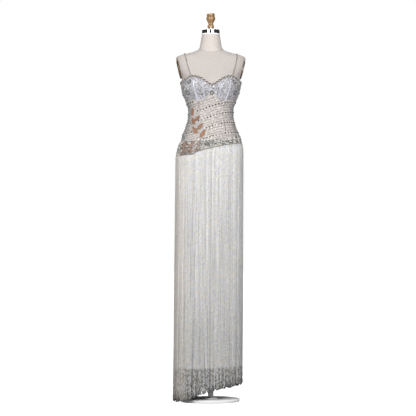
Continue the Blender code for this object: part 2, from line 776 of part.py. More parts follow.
def stand(collection):
    top = BODY[0].height - SEAM
    bottom = BASE_THICKNESS + SEAM
    profile = [
        (0, top),
        (POLE_FLANGE_RADIUS, top),
        (POLE_FLANGE_RADIUS, top - FLANGE_THICKNESS),
        (POLE_RADIUS, top - FLANGE_THICKNESS),
        (POLE_RADIUS, bottom + FLANGE_THICKNESS),
        (POLE_FOOT_RADIUS, bottom + FLANGE_THICKNESS),
        (POLE_FOOT_RADIUS, bottom),
        (0, bottom),
    ]
    lathe("stand_pole", profile, "white_paint", collection)
    bm = bmesh.new()
    bmesh.ops.create_cone(bm, cap_ends=True, segments=BASE_STEPS, radius1=1, radius2=1, depth=BASE_THICKNESS)
    bmesh.ops.scale(bm, vec=(BASE_HALF_WIDTH, BASE_HALF_DEPTH, 1), verts=bm.verts)
    bmesh.ops.translate(bm, vec=(0, 0, BASE_THICKNESS / 2), verts=bm.verts)
    base = add_bmesh("stand_base", bm, "white_paint", collection)
    edge = base.modifiers.new("Edge", "BEVEL")
    edge.width = BASE_EDGE
    edge.segments = 1
    edge.limit_method = "ANGLE"


def box(bm, low, high):
    made = bmesh.ops.create_cube(bm, size=1)["verts"]
    low, high = np.array(low), np.array(high)
    bmesh.ops.scale(bm, vec=high - low, verts=made)
    bmesh.ops.translate(bm, vec=(low + high) / 2, verts=made)


def union(made, other):
    """Joins another object into made, with the Boolean applied so that the other can go."""
    join = made.modifiers.new("Join", "BOOLEAN")
    join.operation = "UNION"
    join.object = other
    bpy.context.view_layer.update()
    graph = bpy.context.evaluated_depsgraph_get()
    mesh = bpy.data.meshes.new_from_object(made.evaluated_get(graph))
    made.modifiers.clear()
    made.data = mesh
    bpy.data.objects.remove(other)


def zip_fastener(collection):
    """Chain in the centre back seam, and near its top a slider with a bridge that the pull tab hangs on."""
    rings = []
    bottom = float(band_edge(BACK, "upper")) + SEAM
    for height in np.linspace(bottom, CHAIN_TOP, CHAIN_ROWS + 1):
        half = CHAIN_HALF_WIDTH / float(form_radius(BACK, height))
        angles = BACK + half * np.array([-1.0, 1.0, 1.0, -1.0])
        out = np.array([-CLOTH, -CLOTH, -CLOTH + CHAIN_SET_IN, -CLOTH + CHAIN_SET_IN])
        rings.append(list(cloth_point(angles, height, out)))
    bm = bmesh.new()
    loft(bm, rings)
    add_bmesh("zip_chain", bm, "zip_metal", collection, smooth=False)

    heights = np.linspace(SLIDER_HEIGHT - SLIDER_HALF_LENGTH, SLIDER_HEIGHT + SLIDER_HALF_LENGTH, 5)
    seat = float(cloth_face(BACK, heights)[:, 1].max()) + SEAM
    face = seat + SLIDER_THICKNESS
    axis = face + TAB_CLEARANCE + TAB_HALF_THICKNESS
    bm = bmesh.new()
    box(
        bm,
        (-SLIDER_HALF_WIDTH, seat, SLIDER_HEIGHT - SLIDER_HALF_LENGTH),
        (SLIDER_HALF_WIDTH, face, SLIDER_HEIGHT + SLIDER_HALF_LENGTH),
    )
    slider = add_bmesh("zip_slider", bm, "zip_metal", collection, smooth=False)
    beam = axis + TAB_HALF_THICKNESS + BRIDGE_PLAY
    root = face - BRIDGE_ROOT
    outline = (
        (-BRIDGE_HALF_LENGTH, root),
        (-BRIDGE_HALF_LENGTH, beam + BRIDGE_WALL),
        (BRIDGE_HALF_LENGTH, beam + BRIDGE_WALL),
        (BRIDGE_HALF_LENGTH, root),
        (BRIDGE_HALF_LENGTH - BRIDGE_WALL, root),
        (BRIDGE_HALF_LENGTH - BRIDGE_WALL, beam),
        (-BRIDGE_HALF_LENGTH + BRIDGE_WALL, beam),
        (-BRIDGE_HALF_LENGTH + BRIDGE_WALL, root),
    )
    bm = bmesh.new()
    rings = [
        [(x, y, SLIDER_HEIGHT + z) for z, y in outline] for x in (-BRIDGE_HALF_WIDTH, BRIDGE_HALF_WIDTH)
    ]
    loft(bm, rings)
    bridge = add_bmesh("zip_bridge", bm, "zip_metal", collection, smooth=False)
    union(slider, bridge)

    flat = bpy.data.curves.new("zip_tab", "CURVE")
    flat.dimensions = "2D"
    flat.fill_mode = "BOTH"
    flat.extrude = TAB_HALF_THICKNESS
    top, width = TAB_HALF_THICKNESS, TAB_HALF_WIDTH
    eye_top, eye_low = -TAB_HALF_THICKNESS, -TAB_EYE_LENGTH
    rounding = [math.radians(a) for a in range(0, 181, 30)]
    foot = -TAB_LENGTH + width
    round_end = [(-width * math.cos(a), foot - width * math.sin(a)) for a in rounding]
    plate = [(-width, top), *round_end, (width, top)]
    eye = [
        (-TAB_EYE_HALF_WIDTH, eye_top),
        (TAB_EYE_HALF_WIDTH, eye_top),
        (TAB_EYE_HALF_WIDTH, eye_low),
        (-TAB_EYE_HALF_WIDTH, eye_low),
    ]
    for points in (plate, eye):
        spline = flat.splines.new("POLY")
        spline.points.add(len(points) - 1)
        spline.use_cyclic_u = True
        for point, (x, y) in zip(spline.points, points):
            point.co = (x, y, 0, 1)
    tab = add_object("zip_tab", flat, "zip_metal", collection)
    tab.location = (0, axis, SLIDER_HEIGHT)
    tab.rotation_euler = (math.pi / 2, 0, 0)


def clear_scene():
    for made in list(bpy.data.objects):
        bpy.data.objects.remove(made)


def main():
    clear_scene()
    collection = bpy.data.collections.new("fringed_evening_gown")
    bpy.context.scene.collection.children.link(collection)
    dress_form(collection)
    arm_plates(collection)
    neck_cap_and_finial(collection)
    stand(collection)
    bodice(collection)
    channels(collection)
    neck_trim(collection)
    hip_band(collection)
    leaf_spray(collection)
    underskirt(collection)
    fringe(collection)
    straps(collection)
    zip_fastener(collection)


main()
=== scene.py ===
"""Finish of a fringed evening gown on its dress form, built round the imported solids.

Metres, +Z up, the gown's front towards -Y. A surface is a function of an angle round the body and a height:
the angle is 0 at the centre front and grows towards +X, so it is 90 degrees at the wearer's left side.
"""

import json
import math
from collections import namedtuple

import bpy
import numpy as np
from bpy.props import FloatProperty, FloatVectorProperty, IntProperty, PointerProperty
from mathutils import Matrix, Vector


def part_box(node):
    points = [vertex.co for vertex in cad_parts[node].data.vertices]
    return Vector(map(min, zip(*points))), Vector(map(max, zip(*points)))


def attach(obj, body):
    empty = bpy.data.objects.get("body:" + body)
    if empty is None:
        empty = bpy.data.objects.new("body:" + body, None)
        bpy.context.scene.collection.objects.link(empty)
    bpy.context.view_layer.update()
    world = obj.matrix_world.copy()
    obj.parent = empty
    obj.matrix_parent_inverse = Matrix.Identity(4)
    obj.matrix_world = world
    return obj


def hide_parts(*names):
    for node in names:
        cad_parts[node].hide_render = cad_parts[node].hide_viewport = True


bl_info = {
    "name": "Fringed Evening Gown",
    "version": (1, 0, 0),
    "blender": (4, 5, 0),
    "location": "3D View > Sidebar > Gown",
    "description": "Makes a beaded, fringed evening gown on a dress form",
    "category": "Object",
}

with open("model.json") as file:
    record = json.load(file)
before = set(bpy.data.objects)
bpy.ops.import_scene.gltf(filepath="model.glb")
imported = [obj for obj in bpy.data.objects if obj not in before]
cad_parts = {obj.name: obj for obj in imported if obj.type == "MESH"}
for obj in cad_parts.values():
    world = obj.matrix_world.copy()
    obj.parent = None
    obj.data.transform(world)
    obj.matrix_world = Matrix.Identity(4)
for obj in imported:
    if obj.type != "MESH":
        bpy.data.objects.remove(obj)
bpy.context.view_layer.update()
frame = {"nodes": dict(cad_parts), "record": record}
GOWN = "gown_on_form"

# The dress form: sections of its covered body, as in the solids
Section = namedtuple("Section", "height half_width front back power")
BODY = (
    Section(1.0850, 0.1430, 0.0920, 0.1080, 2.3),
    Section(1.0940, 0.1500, 0.0980, 0.1150, 2.3),
    Section(1.1500, 0.1530, 0.1010, 0.1180, 2.3),
    Section(1.2070, 0.1540, 0.1020, 0.1190, 2.3),
    Section(1.2520, 0.1525, 0.1010, 0.1150, 2.3),
    Section(1.3120, 0.1425, 0.0970, 0.1020, 2.2),
    Section(1.3420, 0.1335, 0.0940, 0.0940, 2.2),
    Section(1.3720, 0.1215, 0.0900, 0.0875, 2.2),
    Section(1.4020, 0.1125, 0.0865, 0.0835, 2.1),
    Section(1.4400, 0.1085, 0.0840, 0.0815, 2.1),
    Section(1.4620, 0.1095, 0.0840, 0.0820, 2.1),
    Section(1.4920, 0.1190, 0.0865, 0.0840, 2.1),
    Section(1.5220, 0.1315, 0.0900, 0.0870, 2.2),
    Section(1.5520, 0.1415, 0.0930, 0.0895, 2.2),
    Section(1.5820, 0.1455, 0.0940, 0.0910, 2.3),
    Section(1.6120, 0.1448, 0.0910, 0.0920, 2.3),
    Section(1.6400, 0.1560, 0.0860, 0.0920, 2.4),
    Section(1.6630, 0.1670, 0.0800, 0.0900, 2.4),
    Section(1.6850, 0.1725, 0.0740, 0.0860, 2.4),
    Section(1.7070, 0.1740, 0.0680, 0.0800, 2.4),
    Section(1.7160, 0.1730, 0.0645, 0.0765, 2.4),
    Section(1.7220, 0.1700, 0.0620, 0.0730, 2.4),
    Section(1.7320, 0.1480, 0.0580, 0.0690, 2.3),
    Section(1.7450, 0.0980, 0.0540, 0.0630, 2.2),
    Section(1.7530, 0.0750, 0.0530, 0.0600, 2.1),
    Section(1.7600, 0.0630, 0.0520, 0.0580, 2.0),
    Section(1.7700, 0.0560, 0.0500, 0.0560, 2.0),
    Section(1.7930, 0.0515, 0.0470, 0.0520, 2.0),
    Section(1.8385, 0.0440, 0.0440, 0.0450, 2.0),
)
BUST_ANGLE = math.radians(35.0)
BUST_SPREAD = math.radians(20.0)
BUST_HEIGHT = 1.577
BUST_REACH = 0.027
BUST_ABOVE = 0.042
BUST_BELOW = 0.038
ARM_MIDDLE = 1.6590
ARM_HALF_WIDTH = 0.1550
ARM_LEAN = math.radians(13.5)
ARM_BOTTOM = 1.6115
ARM_TOP = 1.707
PLATE_HALF_HEIGHT = 0.0465
PLATE_HALF_DEPTH = 0.034
PLATE_THICKNESS = 0.0075
PLATE_ROUNDING = 0.0030
PLATE_SET_BACK = 0.0020

# The skirt's hang, as in the solids
Fall = namedtuple("Fall", "height centre_x half_width front back")
SKIRT = (
    Fall(0.000, -0.0160, 0.1690, 0.1065, 0.1240),
    Fall(1.207, -0.0070, 0.1643, 0.1055, 0.1227),
)
SKIRT_POWER = 2.3
HANG_START = 1.312
EASE = 0.0020
CLOTH = 0.0018
SEAM = 0.0003
PANEL_SEAM = 0.0006
PRINCESS = math.radians(40.0)
SIDE = math.radians(90.0)
BACK = math.radians(180.0)
ZIP_OPENING = 0.0060
CHEST_RADIUS = 0.13
HIP_RADIUS = 0.15
SPINE_RADIUS = 0.09

Edge = namedtuple("Edge", "angle height")
NECKLINE = (
    Edge(0.0, 1.5760),
    Edge(13.0, 1.5905),
    Edge(25.0, 1.6085),
    Edge(34.0, 1.6170),
    Edge(44.0, 1.6220),
    Edge(54.0, 1.6180),
    Edge(65.0, 1.6055),
    Edge(76.0, 1.5970),
    Edge(90.0, 1.5930),
    Edge(120.0, 1.5870),
    Edge(140.0, 1.5820),
    Edge(160.0, 1.5740),
    Edge(180.0, 1.5680),
)
Band = namedtuple("Band", "side lower upper")
HIP_BAND = (
    Band(-1.00, 1.2230, 1.2960),
    Band(-0.85, 1.2285, 1.2985),
    Band(-0.70, 1.2320, 1.2990),
    Band(-0.57, 1.2440, 1.2995),
    Band(-0.30, 1.2550, 1.3015),
    Band(0.00, 1.2635, 1.3055),
    Band(0.35, 1.2710, 1.3105),
    Band(0.60, 1.2785, 1.3150),
    Band(0.85, 1.2860, 1.3240),
    Band(1.00, 1.2895, 1.3325),
)
HEM_LEFT = 0.1720
HEM_RIGHT = 0.1850
Tip = namedtuple("Tip", "side height")
TIPS = (
    Tip(-1.00, 0.0125),
    Tip(-0.80, 0.0130),
    Tip(-0.66, 0.0320),
    Tip(-0.50, 0.0440),
    Tip(-0.20, 0.0560),
    Tip(0.10, 0.0650),
    Tip(0.35, 0.0730),
    Tip(0.60, 0.0800),
    Tip(0.82, 0.0860),
    Tip(1.00, 0.0980),
)
Leaf = namedtuple("Leaf", "node angle height turn length half_width")
LEAVES = (
    Leaf("leaf_1", -31.0, 1.313, 62.0, 0.048, 0.0094),
    Leaf("leaf_2", -39.0, 1.333, 128.0, 0.045, 0.0088),
    Leaf("leaf_3", -41.0, 1.352, 50.0, 0.044, 0.0086),
    Leaf("leaf_4", -50.0, 1.378, 118.0, 0.043, 0.0082),
    Leaf("leaf_5", -52.0, 1.396, 45.0, 0.038, 0.0076),
    Leaf("leaf_6", -60.5, 1.422, 88.0, 0.044, 0.0080),
)
CREAM_LEAVES = (
    Leaf("cream_leaf_1", -34.5, 1.336, 60.0, 0.040, 0.0062),
    Leaf("cream_leaf_2", -45.0, 1.376, 52.0, 0.036, 0.0060),
    Leaf("cream_leaf_3", -52.0, 1.352, 150.0, 0.030, 0.0055),
    Leaf("cream_leaf_4", -57.0, 1.425, 60.0, 0.032, 0.0055),
)
LEAF_START = 0.08
LEAF_END = 0.97

# The cups, channels, beading, straps and zip: heights, angles and distances off the cloth
SIDES = ((-1, "right"), (1, "left"))
CUP_BOTTOM = 1.503
CUP_RISE = 0.030
CUP_REACH = 1.42
CUP_RADIUS = 0.125
CURL = 0.020
CUP_ROSETTES = ((50.0, 1.5900), (59.0, 1.5380))
MIDDLE_ROSETTE = 1.5360
ROSETTE_RADIUS = 0.0115
INNER_CHANNEL = math.radians(21.0)
CHANNEL_BELOW_EDGE = 0.0220
EDGING_SECTION = ((-0.0085, 0.0008), (0.0010, 0.0008), (0.0010, 0.0016), (-0.0085, 0.0016))
FIRST_ROW = 1.262
LAST_ROW = 1.575
STONE_RAIL = 0.0056
PATCH = 0.0055
SCROLL_PATCH = 0.0072
BAND_ROWS = 26
BAND_FACE = 0.0022
BAND_BACK = 0.0010
STRAP_PIVOT = 1.640
STRAP_FRONT = math.radians(51.0)
STRAP_BACK = math.radians(138.0)
STRAP_SHOULDER = 0.1320
STRAP_LIFT = 0.0031
CORD_RADIUS = 0.0008
TOOTH_PITCH = 0.0012
TOOTH_ASIDE = 0.0010
TOOTH_SIZE = (0.0017, 0.0006, 0.0008)

# The fringe: strands hang straight from below the hips, in locks that open under the hem
SKIRT_MIDDLE = 0.6
HALF_GIRTH = 0.49
FRINGE_HIP = 1.190
FRINGE_LIFT = 0.0013
FRINGE_BEAD = 0.0031
STRANDS_IN_LOCK = 5
FRINGE_TAPE_SECTION = ((-0.0060, 0.0011), (0.0, 0.0011), (0.0, 0.0021), (-0.0060, 0.0021))

# Finishes: threads and beads in metres, and the fringe's lustre from copper to rose
LINEN_RADIUS = 0.14
LINEN_THREAD = 0.0011
TAPE_WHITE = (0.90, 0.89, 0.87)
NET_BEAD = 0.0034
# colour of the painted glints on the beaded net
GLINT_WHITE = (0.95, 0.94, 0.95)
LUSTRE = (
    (0.10, (0.95, 0.72, 0.56)),
    (0.30, (0.95, 0.88, 0.58)),
    (0.50, (0.78, 0.80, 0.78)),
    (0.70, (0.60, 0.70, 0.90)),
    (0.90, (0.90, 0.66, 0.74)),
)
SHARP = math.radians(50.0)

# Turned and pressed parts: outlines as height above the foot, then radius
Turn = namedtuple("Turn", "height radius")
FINIAL_FOOT = 1.8670
FINIAL = (
    Turn(0.0000, 0.0140),
    Turn(0.0030, 0.0160),
    Turn(0.0090, 0.0165),
    Turn(0.0200, 0.0120),
    Turn(0.0290, 0.0145),
    Turn(0.0390, 0.0205),
    Turn(0.0500, 0.0224),
    Turn(0.0595, 0.0190),
    Turn(0.0660, 0.0200),
    Turn(0.0728, 0.0170),
    Turn(0.0750, 0.0120),
)
CAP_RADIUS = 0.0440
CAP_BOTTOM = 1.8388
CAP_TOP = 1.8580
CAP_ROUNDING = 0.0030
STEM_RADIUS = 0.0085
NECK_SEAM_SIDE = 1.7615
NECK_SEAM_FRONT = 1.7430
TAPE_BOTTOM = 1.8330
TAPE_LIFT = 0.0008

# The camera stands level, seven metres away, and the form is turned three degrees from it
VIEW_TURN = math.radians(3.0)
VIEW_DISTANCE = 7.0
VIEW_HEIGHT = 0.9675
VIEW_SIDE = -0.014
VIEW_HALF_WIDTH = 1.04
SENSOR = 36.0

SEED = 11


class GownSizes(bpy.types.PropertyGroup):
    """Sizes of the beads, stones and strands"""

    seed_bead: FloatProperty(
        name="Seed bead", description="Width of the small beads", default=0.0024, unit="LENGTH"
    )
    band_bead: FloatProperty(
        name="Band bead", description="Width of the hip band's beads", default=0.0034, unit="LENGTH"
    )
    edge_bead: FloatProperty(
        name="Edge bead", description="Width of the neckline's beads", default=0.0056, unit="LENGTH"
    )
    strap_bead: FloatProperty(
        name="Strap bead", description="Width of the straps' beads", default=0.0036, unit="LENGTH"
    )
    stone: FloatProperty(name="Stone", description="Width of a rhinestone", default=0.0078, unit="LENGTH")
    row_step: FloatProperty(
        name="Row step", description="Height from one row of beads to the next", default=0.0125, unit="LENGTH"
    )
    strand: FloatProperty(
        name="Strand", description="Width of a strand of the fringe", default=0.0020, unit="LENGTH"
    )
    strands: IntProperty(
        name="Strands", description="Strands in each of the four layers of fringe", default=210, min=20
    )


class GownColours(bpy.types.PropertyGroup):
    """Colours of the cloth, the beads and the dress form"""

    linen: FloatVectorProperty(
        name="Linen", description="Cover of the dress form", subtype="COLOR", default=(0.476, 0.432, 0.400)
    )
    lilac: FloatVectorProperty(
        name="Lilac", description="Cloth of the cups", subtype="COLOR", default=(0.50, 0.49, 0.54)
    )
    cream: FloatVectorProperty(
        name="Cream", description="Cloth of the midriff", subtype="COLOR", default=(0.575, 0.520, 0.480)
    )
    side: FloatVectorProperty(
        name="Side", description="Cloth at the sides", subtype="COLOR", default=(0.42, 0.41, 0.40)
    )
    silver: FloatVectorProperty(
        name="Silver", description="Silver beads", subtype="COLOR", default=(0.60, 0.58, 0.55)
    )
    dark: FloatVectorProperty(
        name="Dark silver", description="Dark beads", subtype="COLOR", default=(0.070, 0.070, 0.062)
    )
    copper: FloatVectorProperty(
        name="Copper", description="Copper beads and leaves", subtype="COLOR", default=(0.40, 0.215, 0.130)
    )
    satin: FloatVectorProperty(
        name="Satin", description="Boning channels", subtype="COLOR", default=(0.60, 0.61, 0.69)
    )
    fringe: FloatVectorProperty(
        name="Fringe", description="Beads of the fringe", subtype="COLOR", default=(0.82, 0.80, 0.765)
    )
    wood: FloatVectorProperty(
        name="Wood", description="Finial and arm plates", subtype="COLOR", default=(0.30, 0.175, 0.075)
    )


class Field:
    """A socket in a node tree. Arithmetic on it adds Math nodes, and node() adds any other node."""

    def __init__(self, tree, socket=None):
        self.tree = tree
        self.socket = socket

    def node(self, kind, inputs=None, output=0, stops=None, **settings):
        """One output of a new node with these inputs, colour stops and settings."""
        made = self.tree.nodes.new(kind)
        for name, value in settings.items():
            setattr(made, name, value)
        if stops:
            ramp = made.color_ramp.elements
            while len(ramp) < len(stops):
                ramp.new(1.0)
            for element, (place, colour) in zip(ramp, stops):
                element.position = place
                element.color = (*colour, 1.0)
        for key, value in (inputs or {}).items():
            if isinstance(value, Field):
                self.tree.links.new(value.socket, made.inputs[key])
            else:
                made.inputs[key].default_value = value
        return Field(self.tree, made.outputs[output])

    def math(self, operation, *values):
        """A Math node on these values, which are numbers or fields."""
        return self.node("ShaderNodeMath", dict(enumerate(values)), operation=operation)

    def __add__(self, other):
        return self.math("ADD", self, other)

    def __radd__(self, other):
        return self.math("ADD", other, self)

    def __sub__(self, other):
        return self.math("SUBTRACT", self, other)

    def __rsub__(self, other):
        return self.math("SUBTRACT", other, self)

    def __mul__(self, other):
        return self.math("MULTIPLY", self, other)

    def __truediv__(self, other):
        return self.math("DIVIDE", self, other)

    def __pow__(self, other):
        return self.math("POWER", self, other)

    __rmul__ = __mul__

    def floor(self):
        """The whole number at or below this."""
        return self.math("FLOOR", self)

    def absolute(self):
        """This without its sign."""
        return self.math("ABSOLUTE", self)

    def wave(self, pitch):
        """A sine wave from 0 to 1 that repeats every pitch."""
        return self.math("SINE", self * (2 * math.pi / pitch)) * 0.5 + 0.5

    def rise(self, low, high):
        """0 below low, 1 above high and a soft step between them."""
        inputs = {"Value": self, "From Min": low, "From Max": high}
        return self.node("ShaderNodeMapRange", inputs, interpolation_type="SMOOTHSTEP")

    def near(self, other, width):
        """1 where this is other, and 0 at a width away."""
        return 1 - (self - other).absolute().rise(0.0, width)

    def mix(self, first, second):
        """The colour first where this is 0 and second where it is 1."""
        inputs = {0: self, 6: rgba(first), 7: rgba(second)}
        return self.node("ShaderNodeMix", inputs, output=2, data_type="RGBA")

    def times(self, colour, share):
        """This colour multiplied with another, by a share of the whole effect."""
        inputs = {0: share, 6: self, 7: colour}
        return self.node("ShaderNodeMix", inputs, output=2, data_type="RGBA", blend_type="MULTIPLY")

    def parts(self):
        """The three numbers of a vector."""
        split = self.tree.nodes.new("ShaderNodeSeparateXYZ")
        self.tree.links.new(self.socket, split.inputs[0])
        return [Field(self.tree, socket) for socket in split.outputs]

    def noise(self, scale, detail=2.0):
        """Soft noise round 0.5 at this place."""
        inputs = {"Vector": self, "Scale": scale, "Detail": detail}
        return self.node("ShaderNodeTexNoise", inputs)

    def cells(self, scale, output=0):
        """Voronoi cells: output 0 is the distance to a cell's middle, 1 its random colour."""
        return self.node("ShaderNodeTexVoronoi", {"Vector": self, "Scale": scale}, output=output)

    def bump(self, height, distance):
        """A normal from heights between 0 and 1, which stand for that distance in metres."""
        return height.node("ShaderNodeBump", {"Height": height, "Distance": distance, "Strength": 1.0})


def rgba(colour):
    """A colour with its alpha, or a field as it is."""
    return colour if isinstance(colour, Field) else (*colour[:3], 1.0)


def scaled(colour, share):
    """A colour made lighter or darker by a share, at most 1 in each part."""
    return tuple(min(1.0, part * share) for part in colour)


def material(name, roughness=0.5, metallic=0.0, **sockets):
    """A new material with one Principled shader whose even values are set; gives it and its tree's field."""
    made = bpy.data.materials.new(name)
    made.use_nodes = True
    shader = made.node_tree.nodes["Principled BSDF"]
    shader.inputs["Roughness"].default_value = roughness
    shader.inputs["Metallic"].default_value = metallic
    for key, value in sockets.items():
        shader.inputs[key.replace("_", " ")].default_value = value
    return made, Field(made.node_tree)


def paint(made, **fields):
    """Links fields to the Principled shader's sockets, an underscore standing for a space."""
    shader = made.node_tree.nodes["Principled BSDF"]
    for key, field in fields.items():
        made.node_tree.links.new(field.socket, shader.inputs[key.replace("_", " ")])
    return made


def place_of(field):
    """The place on the object, in metres."""
    return field.node("ShaderNodeTexCoord", output=3)


def sheet_of(field):
    """The piece's own UV map, which holds lengths or angles, as two numbers."""
    across, along, _ = field.node("ShaderNodeUVMap", uv_map="Cut").parts()
    return across, along


def tint_of(field):
    """The tint that each bead, stone or strand carries."""
    return field.node("ShaderNodeAttribute", attribute_name="tint")


def linen_finish(colour):
    """Plain woven linen: crossing threads and slubs, a paler neck over its seam and a faint front seam."""
    made, field = material("linen", roughness=0.88, Sheen_Weight=0.15)
    place = place_of(field)
    x, y, z = place.parts()
    across, along = sheet_of(field)
    weave = across.wave(LINEN_THREAD) * 0.5 + along.wave(LINEN_THREAD) * 0.5
    slub = place.noise(140.0, 4.0)
    depth = x / 0.060
    front = y.rise(-0.01, 0.01)
    seam = NECK_SEAM_FRONT + (NECK_SEAM_SIDE - NECK_SEAM_FRONT) * (depth * depth + front).rise(0.0, 1.0)
    stitched = z.near(seam, 0.0022)
    centre = x.near(0.0, 0.0012) * (1 - z.rise(NECK_SEAM_FRONT - 0.001, NECK_SEAM_FRONT + 0.001)) * 0.22
    line = stitched.math("MAXIMUM", stitched, centre)
    neck = z.math("GREATER_THAN", z, seam)
    tape = z.rise(TAPE_BOTTOM - 0.0008, TAPE_BOTTOM)
    threads = slub * 0.8 + weave * 0.2
    cloth = threads.mix(scaled(colour, 0.86), scaled(colour, 1.12))
    cloth = neck.mix(cloth, threads.mix(scaled(colour, 1.02), scaled(colour, 1.28)))
    cloth = tape.mix(cloth, TAPE_WHITE)
    cloth = (line * 0.45).mix(cloth, scaled(colour, 0.45))
    height = weave * 0.5 + slub * 0.5 - stitched
    return paint(made, Base_Color=cloth, Normal=field.bump(height, 0.0006))


def wood_finish(name, colour, grain_scale, coat):
    """Varnished wood: long grain along Z, darker in the pores and a little paler in broad patches."""
    made, field = material(name, Coat_Roughness=0.15)
    place = place_of(field)
    long_way = place.node("ShaderNodeMapping", {"Vector": place, "Scale": (1.0, 1.0, 0.12)})
    grain = long_way.noise(grain_scale, 6.0)
    pores = long_way.noise(grain_scale * 5, 2.0).rise(0.52, 0.66)
    wear = place.noise(38.0, 3.0).rise(0.35, 0.7)
    tone = grain.rise(0.3, 0.7).mix(scaled(colour, 0.75), scaled(colour, 1.2))
    tone = (pores * 0.35).mix(tone, scaled(colour, 0.4))
    tone = (wear * 0.15).mix(tone, scaled(colour, 1.5))
    rough = grain * 0.2 + 0.25
    weight = coat - wear * 0.2
    return paint(
        made, Base_Color=tone, Roughness=rough, Coat_Weight=weight, Normal=field.bump(grain, 0.0002)
    )


def chrome_finish():
    """Polished chrome with faint wiping marks."""
    made, field = material("chrome", metallic=1.0)
    smear = place_of(field).noise(60.0, 4.0)
    tone = smear.mix((0.54, 0.55, 0.56), (0.66, 0.66, 0.67))
    return paint(made, Base_Color=tone, Roughness=smear * 0.02 + 0.01)


def paint_finish():
    """White matt paint with an orange-peel skin and faint grey scuffs."""
    made, field = material("white_paint")
    place = place_of(field)
    skin = place.noise(420.0, 1.0)
    scuff = place.noise(24.0, 6.0).rise(0.55, 0.75)
    tone = (scuff * 0.25).mix((0.92, 0.92, 0.91), (0.74, 0.73, 0.72))
    return paint(made, Base_Color=tone, Roughness=scuff * 0.2 + 0.55, Normal=field.bump(skin, 0.0001))


def metal_finish():
    """Satin zip metal, brushed across."""
    made, field = material("zip_metal", metallic=1.0)
    place = place_of(field)
    fine = place.node("ShaderNodeMapping", {"Vector": place, "Scale": (60.0, 900.0, 900.0)})
    lines = fine.noise(1.0, 3.0)
    tone = lines.mix((0.46, 0.45, 0.43), (0.76, 0.75, 0.72))
    return paint(made, Base_Color=tone, Roughness=lines * 0.2 + 0.25, Normal=field.bump(lines, 0.00005))


def net_finish(colours):
    """Net covered with stitched beads: lilac over the cups, cream at the midriff, greyer to the sides.

    Round cells stand for the beads, each with its own tone and a painted shade that darkens it towards its
    edge, and a few of them are bright with a painted highlight. A lace of broader patches shows more over the
    cups.
    """
    made, field = material("beaded_net", metallic=0.1)
    place = place_of(field)
    angle, height = sheet_of(field)
    turned_off = angle.absolute()
    lower = CUP_BOTTOM + turned_off.near(0.0, 0.42) * CUP_RISE
    cup = (height - lower).rise(-0.006, 0.008) * (1 - turned_off.rise(1.30, 1.50))
    flank = turned_off.rise(0.85, 1.35)
    base = cup.mix(colours.cream, colours.lilac)
    base = (flank * 0.75).mix(base, colours.side)
    lace = place.noise(130.0, 3.0).rise(0.42, 0.58)
    amount = cup * 0.35 + 0.15
    base = (lace * amount).mix(base, scaled(colours.silver, 0.42))
    pale = place.noise(90.0, 2.0).rise(0.55, 0.66)
    base = (pale * amount * 1.2).mix(base, (0.86, 0.85, 0.89))
    cells = 1 / NET_BEAD
    middle = place.cells(cells)
    cell_tone, cell_pick, _ = place.cells(cells, 1).parts()
    # painted shade: each bead cell is darker towards its edge, where the beads meet; the dome also gives the
    # bump
    dome_and_shade = 1 - middle.rise(0.15, 0.75)
    shade = (cell_tone * 0.8 + dome_and_shade * 0.4).rise(0.1, 1.0)
    tone = base.times(shade.mix((0.48, 0.47, 0.46), (1.08, 1.08, 1.08)), 0.75)
    # painted highlight: a few bead cells are made near-white and glossier as glints
    glint = cell_pick.rise(0.90, 0.93)
    tone = (glint * 0.6).mix(tone, GLINT_WHITE)
    return paint(made, Base_Color=tone, Roughness=0.6 - glint * 0.3, Normal=field.bump(dome_and_shade, 0.0008))


def bead_finish():
    """Glass beads in the tint that each one carries, with a thin uneven glaze."""
    made, field = material("beads", metallic=0.25, Coat_Weight=0.4, Coat_Roughness=0.08)
    glaze = place_of(field).noise(900.0, 2.0)
    tone = (glaze * 0.20).mix(tint_of(field), (0.95, 0.94, 0.96))
    return paint(made, Base_Color=tone, Roughness=glaze * 0.2 + 0.18)


def stone_finish():
    """Faceted glass over a foil, dark in its depth and paler where the foil has worn."""
    made, field = material("rhinestone", roughness=0.12, Coat_Weight=0.8, Coat_Roughness=0.05)
    foil = place_of(field).noise(500.0, 1.0).rise(0.45, 0.7)
    return paint(made, Base_Color=(foil * 0.25).mix(tint_of(field), (0.80, 0.80, 0.82)))


def satin_finish(name, colour):
    """Satin: fine floats along the strip, soft bands of sheen and a stitched line near each edge."""
    made, field = material(name, metallic=0.1, Sheen_Weight=0.3)
    across, along = sheet_of(field)
    floats = across.wave(0.0006)
    sheen_bands = place_of(field).noise(70.0, 2.0)
    stitch = across.absolute().near(0.0034, 0.0006) * along.wave(0.0030).rise(0.3, 0.5)
    # painted sheen: soft bands of the satin's colour are made lighter and darker; the bands also vary
    # roughness and bump
    tone = sheen_bands.rise(0.3, 0.7).mix(scaled(colour, 0.82), scaled(colour, 1.15))
    tone = (stitch * 0.5).mix(tone, scaled(colour, 0.55))
    height = floats * 0.15 + sheen_bands * 0.5 - stitch * 0.6
    return paint(made, Base_Color=tone, Roughness=sheen_bands * 0.2 + 0.22, Normal=field.bump(height, 0.0005))


def leaf_finish(name, colour):
    """Close rows of thread slanting from the midrib, darker in the rib and between the rows."""
    made, field = material(name, metallic=0.2)
    across, along = sheet_of(field)
    slant = along + across.absolute() * 0.9
    thread = slant.wave(0.0011)
    rib = across.near(0.0, 0.0007)
    worn = place_of(field).noise(160.0, 2.0)
    # painted shade: the colour is darker between the rows of thread and along the creased midrib
    tone = (thread * 0.6 + worn * 0.4).mix(scaled(colour, 0.62), scaled(colour, 1.3))
    tone = (rib * 0.6).mix(tone, scaled(colour, 0.4))
    height = thread * 0.5 - rib
    return paint(made, Base_Color=tone, Roughness=worn * 0.25 + 0.3, Normal=field.bump(height, 0.0005))


